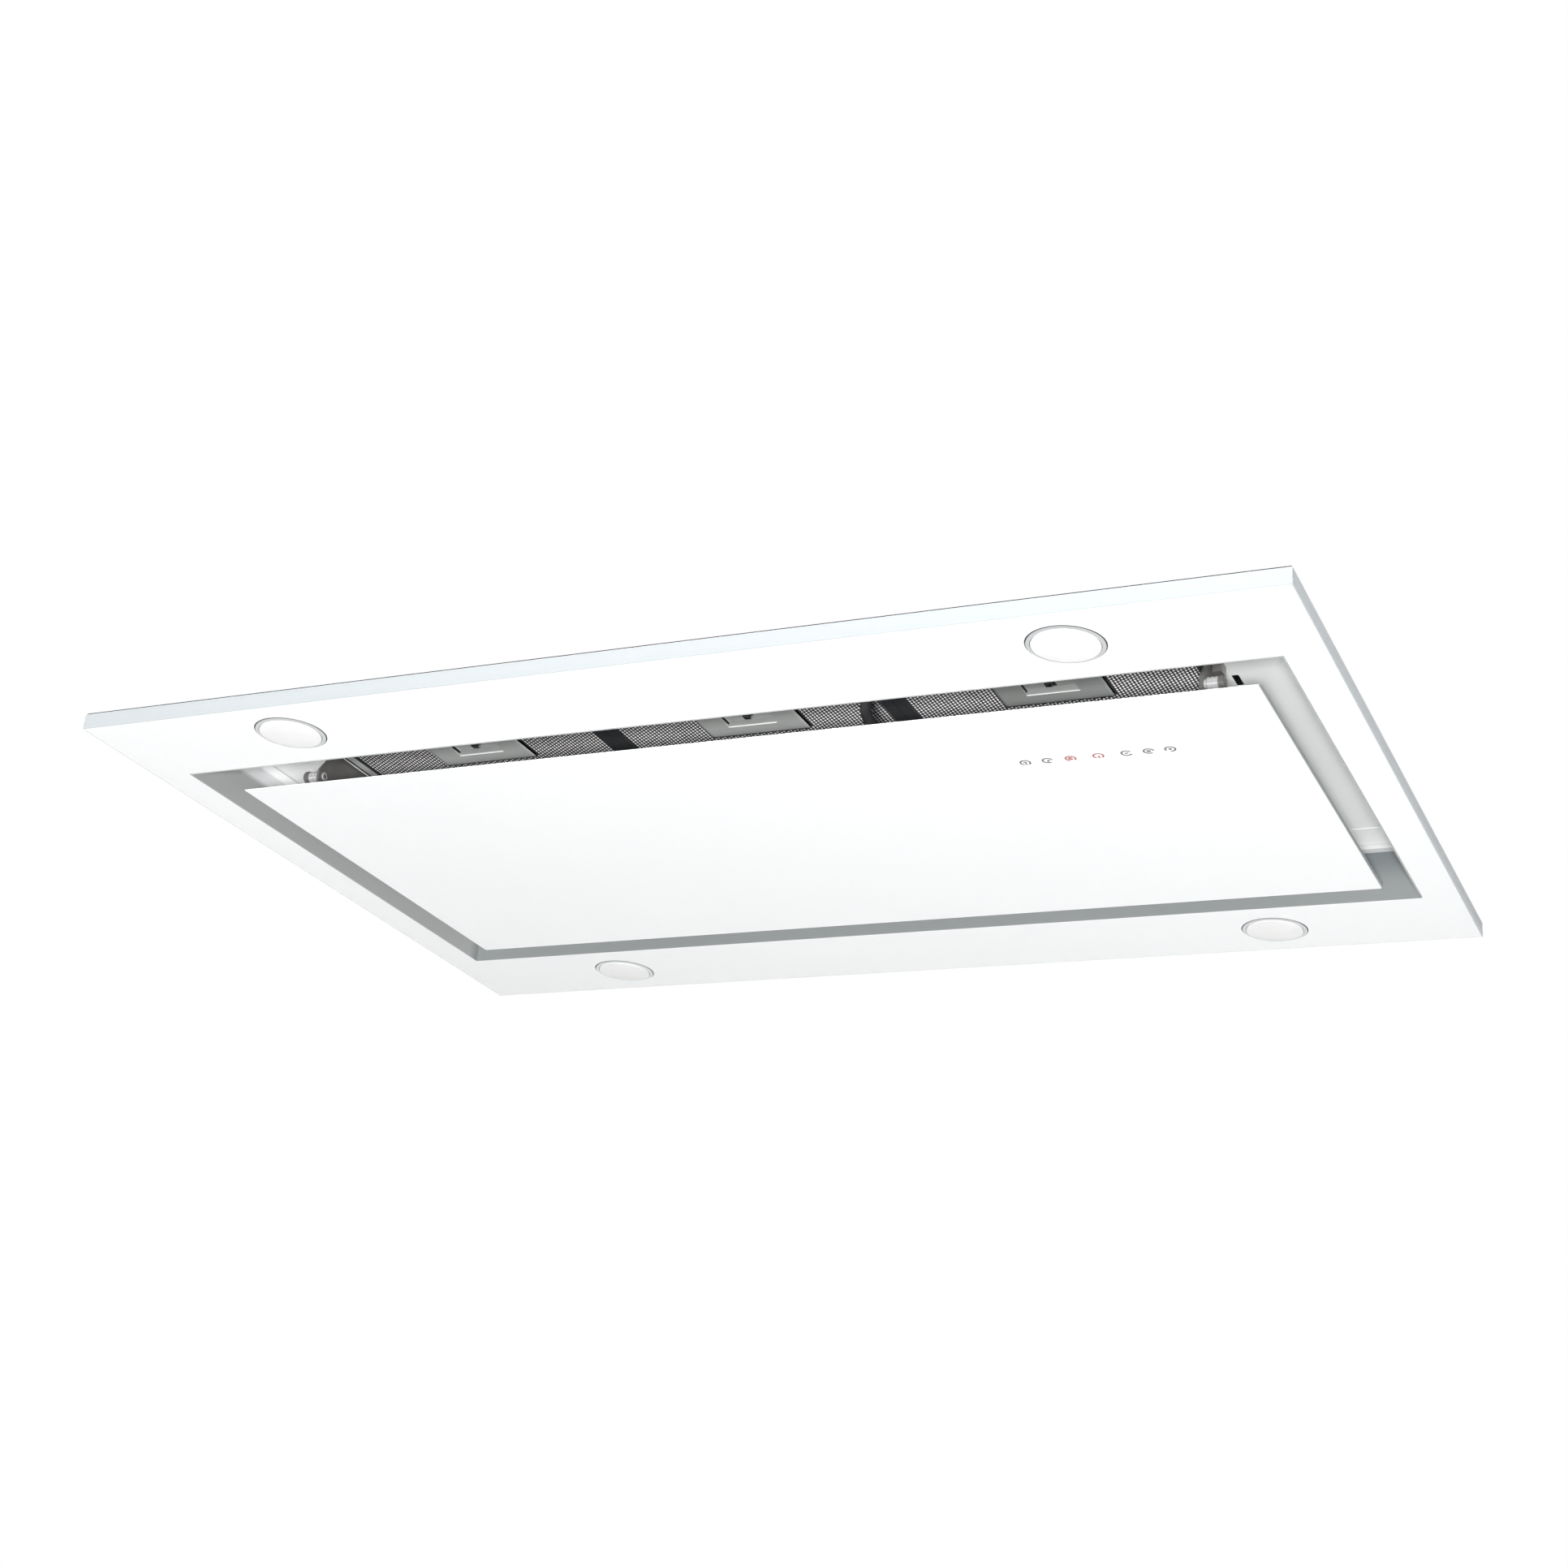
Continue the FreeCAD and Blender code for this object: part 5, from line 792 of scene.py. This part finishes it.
def filterMesh(number, centre):
    # bright pressed knots in staggered columns, with a wire between each two columns and thinner ones
    # across behind them, all round the seat that the handle fills; wires and sheets are painted dark as the
    # painted shade in the mesh's holes
    half, length, pitchX, pitchY = (filters[key] for key in ("halfWidth", "halfLength", "pitchX", "pitchY"))
    seatX, seatY, low, body = filters["seatX"], filters["seatY"], filters["low"], "filter_" + number
    columns, rows = filters["columns"], np.arange(-filters["rows"], filters["rows"] + 1)

    def wires(x0, y0, x1, y1, width, height, above):
        x0, y0, x1, y1, level = np.broadcast_arrays(x0, y0, x1, y1, low + above)
        return bars(np.column_stack((x0, y0, level)), np.column_stack((x1, y1, level)), width, height)

    x, y = (np.arange(-columns, columns) + 0.5) * pitchX, rows * pitchY
    lengthwise = wires(x, np.where(np.abs(x) < seatX, seatY, -length), x, length, *filters["wire"])
    whole, split = y[y > seatY], y[y <= seatY]
    spans = [(whole, -half, half), (split, -half, -seatX), (split, seatX, half)]
    crosswise = [wires(x0, row, x1, row, *filters["crossWire"]) for row, x0, x1 in spans]
    shape = moved(joinShapes([lengthwise, *crosswise]), centre)
    addPiece("filterWires" + number, body, None, "filter_mesh", shape, meshShadowPaint, tidy=False)

    column, row = np.meshgrid(np.arange(1 - columns, columns), rows)
    knotX, knotY = column * pitchX, (row + column % 2 / 2) * pitchY
    reachX, reachY = filters["knotReach"]
    inSeat = (np.abs(knotX) < seatX + filters["seatGap"]) & (knotY < seatY + filters["seatGap"])
    free = ~inSeat & (np.abs(knotX) < reachX) & (np.abs(knotY) < reachY)
    bottom, top = low + filters["sheet"][0], low + filters["sheet"][1]
    shape = moved(domes(knotX[free], knotY[free], bottom, *filters["knot"]), centre)
    addPiece("filterKnots" + number, body, None, "filter_mesh", shape, smooth=80, tidy=False)

    def sheet(x0, x1, y0, y1):
        flat = slab((x1 - x0) / 2, (y1 - y0) / 2, bottom, top, 0.2, 0.05)
        return moved(flat, centre + (x0 + x1) / 2, (y0 + y1) / 2)

    layers = joinShapes([sheet(-half, half, seatY, length), sheet(-half, -seatX, -length, seatY),
                         sheet(seatX, half, -length, seatY)])
    # the sheets behind the knots are painted dark, as painted shade
    addPiece("filterLayers" + number, body, "filter_mesh_" + number, "filter_mesh", layers, meshShadowPaint)


for number, centre in filters["places"].items():
    filterMesh(number, centre)
print("ceiling hood: filters made")

handle = {"halfWidth": 40.0, "near": -140.8, "far": -91.0, "low": 47.5, "sheet": 0.7,
          "pocketX": 19.6, "pocketNear": -122.6, "pocketFar": -106.6, "depth": 4.1,
          "wall": 1.3, "farWall": 1.0,
          "bead": (0.45, 0.7, 0.75),  # height, how far beyond the pocket, width
          "pip": (0.35, 1.5, -101.6, 1.9, 0.55, 0.12),  # height, x, y, half width, half depth, how bent
          "guide": (3.6, -119.4, -108.5), "guideShort": 4.5, "lip": 1.5, "sideShade": (0.9, 1.5),
          # where the grid is finer, and how many lines there
          "fineX": ((-20, -17.5, 13), (17.5, 20, 13), (-5, 7, 25)),
          "fineY": ((-123, -121, 9), (-110, -103.6, 33))}


def softStep(value):
    # 3vv - 2vvv of the value held between 0 and 1, so that it is level at both ends
    value = np.clip(value, 0, 1)
    return value * value * (3 - 2 * value)


def handlePlate(number, centre):
    # the pressed plate: its height is the pocket's depth times a soft step in from each of the four
    # walls, less a bead along the far lip and one small raised pip beyond it
    guideX, guideNear, guideFar = handle["guide"]
    width, low, pocketX, pocketFar = (handle[key] for key in ("halfWidth", "low", "pocketX", "pocketFar"))

    def places(start, end, count, fine, *others):
        spans = [np.linspace(*span) for span in ((start, end, count), *fine)]
        return np.unique(np.round(np.concatenate([*spans, others]), 3))

    x = places(-width, width, 33, handle["fineX"], -guideX, guideX)
    y = places(handle["near"], handle["far"], 26, handle["fineY"], guideNear, guideFar)
    gridX, gridY = np.meshgrid(x, y)
    nearWall = softStep((gridY - handle["pocketNear"]) / handle["wall"])
    farWall = softStep((pocketFar - gridY) / handle["farWall"])
    height = low + handle["depth"] * softStep((pocketX - np.abs(gridX)) / handle["wall"]) * nearWall * farWall
    bead, beadPlace, beadWidth = handle["bead"]
    lip = np.exp(-((gridY - pocketFar - beadPlace) / beadWidth) ** 2)
    height -= bead * lip * softStep((pocketX + 1 - np.abs(gridX)) / 2)
    pip, pipX, pipY, wide, deep, bent = handle["pip"]
    aside = gridX - pipX
    height -= pip * np.exp(-(aside / wide) ** 2 - ((gridY - pipY + bent * aside ** 2 / 2) / deep) ** 2)
    points = np.column_stack((gridX.ravel(), gridY.ravel(), height.ravel()))
    shape = moved((points, [gridFaces(len(y), len(x))[:, ::-1]]), centre)
    material, guideEnd = (shadedPlate, guideFar) if number == "3" else (None, guideFar - handle["guideShort"])

    def isDark(middle, normal):
        x, y, z = middle[:, 0] - centre, middle[:, 1], middle[:, 2]
        fromWall, above = handle["sideShade"]
        side = (x < fromWall - pocketX) & (z > low + above)
        inGuide = (np.abs(x) < guideX) & (y > guideNear) & (y < guideEnd)
        return side | (inGuide & (z > low + handle["depth"] - 0.25))

    def isFarWall(middle, normal):
        return (normal[:, 1] < -0.4) & (middle[:, 2] > low + 0.2) & ~isDark(middle, normal)

    def isLip(middle, normal):
        fromLip = middle[:, 1] - pocketFar
        return (fromLip > 0) & (fromLip < handle["lip"]) & (np.abs(middle[:, 0] - centre) < pocketX)

    # painted shade: near black in the latch guide and along the pocket's left wall, darker on the far wall; a
    # painted highlight along the lip
    paints = [(guideShadowPaint, isDark), (pocketShade, isFarWall), (litPlatePaint, isLip)]
    piece = addPiece("handlePlate" + number, "filter_" + number, "filter_handle_" + number, "filter_plate",
                     shape, material, smooth=50, tidy=False, paints=paints)
    wall = piece.modifiers.new("thickness", "SOLIDIFY")
    wall.thickness, wall.offset = handle["sheet"] * mm, -1


latch = {  # each part: half width, near, far, low, high, corner radius, edge
    "bolt": (6.0, -156.0, -115.5, 52.5, 54.5, 0.6, 0.3),
    "finger": (3.1, -118.0, -116.2, 48.6, 52.6, 0.5, 0.2),
    "tip": (2.5, -117.6, -113.9, 48.1, 48.8, 0.8, 0.2)}


def latchPiece(number, centre):
    # a flat bolt, and a finger that hangs from its end with a small pale foot turned back
    def part(halfX, near, far, *rest):
        return moved(slab(halfX, (far - near) / 2, *rest), centre, (far + near) / 2)

    body, bolt = "latch_" + number, joinShapes([part(*latch["bolt"]), part(*latch["finger"])])
    addPiece("latch" + number, body, "filter_latch_" + number, "black_plastic", bolt)
    addPiece("latchTip" + number, body, None, "black_plastic", part(*latch["tip"]), finishes["bright_steel"])


# a painted highlight strip: where it lies on the outer rail
railHighlight = {"inner": -339.4, "outer": -345.4, "length": 146, "low": 47.25, "high": 47.6}


def outerRailHighlight():
    # a pale strip along the outer rail of the first filter: painted light on the rail's lit face
    half, middle = (railHighlight["inner"] - railHighlight["outer"]) / 2, (railHighlight["inner"] + railHighlight["outer"]) / 2
    strip = moved(slab(half, railHighlight["length"], railHighlight["low"], railHighlight["high"], 0.5, 0.12), middle)
    addPiece("railHighlight1", "filter_1", None, "filter_aluminium", strip, finishes["filter_plate"])


for number, centre in filters["places"].items():
    handlePlate(number, centre)
    latchPiece(number, centre)
outerRailHighlight()
print("ceiling hood: handles and latches made")

hinge = {"axisY": -142, "axisZ": 23.5, "bore": 2.2, "ear": (349, 351),
         "earOutline": (  # y, z and the length cut back
             (-148.6, 18, 1.5), (-145, 16.4, 2), (-138, 16.4, 2.4), (-134.4, 20.5, 2.6), (-104, 36.5, 6),
             (-80, 36.5, 2), (-80, 47.5, 0.2), (-140, 47.5, 0.2), (-140.4, 38, 4), (-149, 27, 3.5)),
         "foot": (351, 358, -128, -116, 39.5, 47.5), "pin": (347.9, 2.0), "head": (361.05, 365.5, 5.0),
         "barrel": (353, 361, 4.5), "web": 1.0, "base": (-146.5, -116.5, 5, 7), "screws": (-133, -122),
         "collar": ((2.05, 351.05), (3.2, 351.05), (3.4, 351.3), (3.4, 352.6), (3.2, 352.85), (2.05, 352.85)),
         "washer": ((2.05, 347.95), (3.0, 347.95), (3.3, 348.2), (3.3, 348.7), (3.1, 348.95), (2.05, 348.95))}


def hingeParts():
    # each hinge is built at +x and mirrored: outlines are drawn in the y-z plane and drawn out along x
    axisY, axisZ, bore = hinge["axisY"], hinge["axisZ"], hinge["bore"]
    onAxis = lambda *shapes: moved(alongX(joinShapes(shapes)), 0, axisY, axisZ)
    outlines = [drawnIn(softened(hinge["earOutline"])), roundHole(axisY, axisZ, bore, 24)]
    x0, x1, y0, y1, z0, z1 = hinge["foot"]
    foot = moved(slab((x1 - x0) / 2, (y1 - y0) / 2, z0, z1, 1.2, 0.4), (x0 + x1) / 2, (y0 + y1) / 2)
    ears = leftAndRight(joinShapes([alongX(sheetWithHoles(outlines, *hinge["ear"], 0.3)), foot]))
    addPiece("hingeEars", "hood", "hinge_ears", "dark_steel", ears, smooth=40)

    start, radius = hinge["pin"]
    head, end, wide = hinge["head"]
    pin = [(0, start), (radius - 0.3, start), (radius, start + 0.3), (radius, head), (wide - 0.4, head),
           (wide, head + 0.4), (wide, end - 1.3), (wide - 0.5, end - 0.5), (wide - 1.6, end), (2.2, end),
           (1.9, end - 0.9), (0, end - 0.9)]
    pins = leftAndRight(onAxis(turned(pin, 40, closed=False)))
    addPiece("hingePins", "hood", "hinge_pins", "dark_steel", pins, smooth=35)
    collars = leftAndRight(onAxis(turned(hinge["collar"], 32), turned(hinge["washer"], 32)))
    addPiece("hingeCollars", "hood", None, "dark_steel", collars, finishes["chrome_steel"], smooth=35)

    low, high, r = hinge["barrel"]
    end = np.array([(bore, 0.2), (bore + 0.2, 0), (r - 0.5, 0), (r, 0.5), (r, 2.2), (r - 0.35, 2.5),
                    (r - 0.35, 2.9), (r, 3.2)])  # from the end's bore out to past its groove
    barrel = np.concatenate([end + (0, low), end[::-1] * (1, -1) + (0, high)])
    near, far, baseLow, baseHigh = hinge["base"]
    middle, half = (low + high) / 2, (high - low) / 2
    web = moved(slab(half, hinge["web"], baseLow, axisZ - 3, 0.3, 0.15), middle, axisY)
    base = moved(slab(half, (far - near) / 2, baseLow, baseHigh, 1.5, 0.35), middle, (near + far) / 2)
    screw = [(0, 1.0), (1.2, 1.0), (2.1, 0.5), (2.4, -0.05), (0, -0.05)]  # its head, above the base
    screws = [moved(turned(screw, 20, closed=False), middle, y, baseHigh) for y in hinge["screws"]]
    leaves = leftAndRight(joinShapes([onAxis(turned(barrel, 40)), web, base, *screws]))
    addPiece("hingeLeaves", "panel", "hinge_leaves", "chrome_steel", leaves, smooth=35)


hingeParts()
print("ceiling hood: hinges made")

# the panel's lead: up to the recess plate in an arc, then inside the body to the electronics box
lead = {"radius": 4.0, "step": 2.5, "share": 0.45, "path": [
    (199.5, -97, 10), (170, -97, 10), (148, -107, 10.6), (131, -130, 10.2), (121, -148, 11), (117, -157, 14.5),
    (116.5, -164, 20.5), (120.5, -169, 29), (128, -170, 40), (128, -170, 66), (108, -174, 82), (50, -180, 88),
    (-25, -184, 86), (-105, -180, 89), (-180, -184, 86), (-235, -160, 88), (-262, -120, 90), (-262, -96, 100),
    (-262, -96, 122)]}
leadTube = tubeAlong(roundedPath(lead["path"], lead["step"], lead["share"]), lead["radius"])
panelLead = makePiece("panelLead", leadTube, finishes["grey_sheath"], smooth=50)
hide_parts("panel_lead")
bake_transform(panelLead)
print("ceiling hood: lead made")

room = {"ceiling": 15.1, "ceilingHalf": 4500, "hole": (440, 290, 0.5), "floor": -2500, "floorHalf": 7000,
        "corner": 10, "ambient": 0.28,
        "lights": {"frontLight": {"size": 0.4, "power": 160.0, "place": (1.161, -2.96, -1.425)},
                   "sideLight": {"size": 1.0, "power": 14.0, "place": (3.0, -0.5, -2.2)},
                   "highLight": {"size": 2.0, "power": 26.0, "place": (1.2, -1.8, 2.4)}}}


def raysOf(tree, *kinds):
    # 1 for rays of the kinds named, and 0 for every other
    path = addNode(tree, "LightPath").outputs
    seen, *others = [path[f"Is {kind} Ray"] for kind in kinds]
    for other in others:
        seen = reckoned(tree, "MAXIMUM", seen, other)
    return seen


def plainWhite(tree):
    return addNode(tree, "Emission", Color=(1, 1, 1, 1), Strength=1.0).outputs[0]


def makeCeilingPaint():
    # white from below, and clear from above so that the body can be seen; not part of the hood
    paint = bpy.data.materials.new("ceilingPaint")
    paint.use_nodes = True
    tree = paint.node_tree
    tree.nodes.clear()
    board = addNode(tree, "BsdfDiffuse", Color=(0.5, 0.5, 0.5, 1)).outputs[0]
    seen = raysOf(tree, "Camera", "Glossy", "Transmission")
    below = addNode(tree, "MixShader", Fac=seen, i1=board, i2=plainWhite(tree)).outputs[0]
    above = addNode(tree, "BsdfTransparent").outputs[0]
    side = addNode(tree, "NewGeometry").outputs["Backfacing"]
    both = addNode(tree, "MixShader", Fac=side, i1=below, i2=above).outputs[0]
    addNode(tree, "OutputMaterial", Surface=both)
    return paint


def makeFloorPaint():
    # a pale matte floor that keeps the hood's shadow, and that metal and glass mirror as white
    paint = makeFinish("paleFloor", finePaint, (0.8, 0.8, 0.8), (0.78, 0.78, 0.78), (0.6, 0.7), Drift=1.0)
    tree = paint.node_tree
    matte = tree.nodes["Principled BSDF"].outputs[0]
    seen = raysOf(tree, "Glossy", "Transmission")
    both = addNode(tree, "MixShader", Fac=seen, i1=matte, i2=plainWhite(tree))
    tree.links.new(both.outputs[0], tree.nodes["Material Output"].inputs["Surface"])
    return paint


def makeRoom():
    # the ceiling is one face from an outer outline to the hole for the hood, turned down; the floor is whole
    half, floorHalf, corner = room["ceilingHalf"], room["floorHalf"], room["corner"]
    outlines = roundedRect(half, half, corner), roundedRect(*room["hole"])
    faces = gridFaces(2, len(outlines[0]), wrapColumns=True)[:, ::-1]
    board = atLevels(outlines, [room["ceiling"]] * 2), [faces]
    makePiece("ceilingBoard", board, makeCeilingPaint())
    outline = roundedRect(floorHalf, floorHalf, corner)
    ground = atLevel(outline, room["floor"]), [np.arange(len(outline))[None, :]]
    makePiece("floor", ground, makeFloorPaint())


def makeWorld():
    # white where it is seen or mirrored, and a dim even light everywhere else
    world = bpy.data.worlds.new("studio")
    bpy.context.scene.world = world
    world.use_nodes = True
    tree = world.node_tree
    background = tree.nodes["Background"].inputs
    seen = raysOf(tree, "Camera", "Glossy", "Transmission")
    tree.links.new(ranged(tree, seen, To_Min=room["ambient"], To_Max=1.0), background["Strength"])
    background["Color"].default_value = (1, 1, 1, 1)


def softLight(name, place, size, power):
    # a square light that looks at the origin
    light = bpy.data.lights.new(name, "AREA")
    light.size, light.energy = size, power
    holder = bpy.data.objects.new(name, light)
    bpy.context.scene.collection.objects.link(holder)
    facing = (-Vector(place)).to_track_quat("-Z", "Y").to_matrix().to_4x4()
    holder.matrix_world = Matrix.Translation(place) @ facing
    holder.visible_camera = holder.visible_glossy = False


makeRoom()
makeWorld()
for name, light in room["lights"].items():
    softLight(name, **light)

view = {"place": (0.78486, -1.57540, -0.71102), "turn": (112.94865, -5.20026, 24.04059), "lens": 57.4006,
        "sensor": 36, "shiftX": -0.0228, "shiftY": 0.0124, "clip": (0.05, 50)}
camera = bpy.data.cameras.new("camera")
camera.lens, camera.sensor_fit = view["lens"], "HORIZONTAL"
camera.sensor_width = camera.sensor_height = view["sensor"]
camera.shift_x, camera.shift_y = view["shiftX"], view["shiftY"]
camera.clip_start, camera.clip_end = view["clip"]
viewer = bpy.data.objects.new("camera", camera)
bpy.context.scene.collection.objects.link(viewer)
viewer.location = view["place"]
viewer.rotation_euler = [math.radians(angle) for angle in view["turn"]]
bpy.context.scene.camera = viewer
bpy.context.scene.view_settings.view_transform = "Standard"
print("ceiling hood: room, light and camera set")
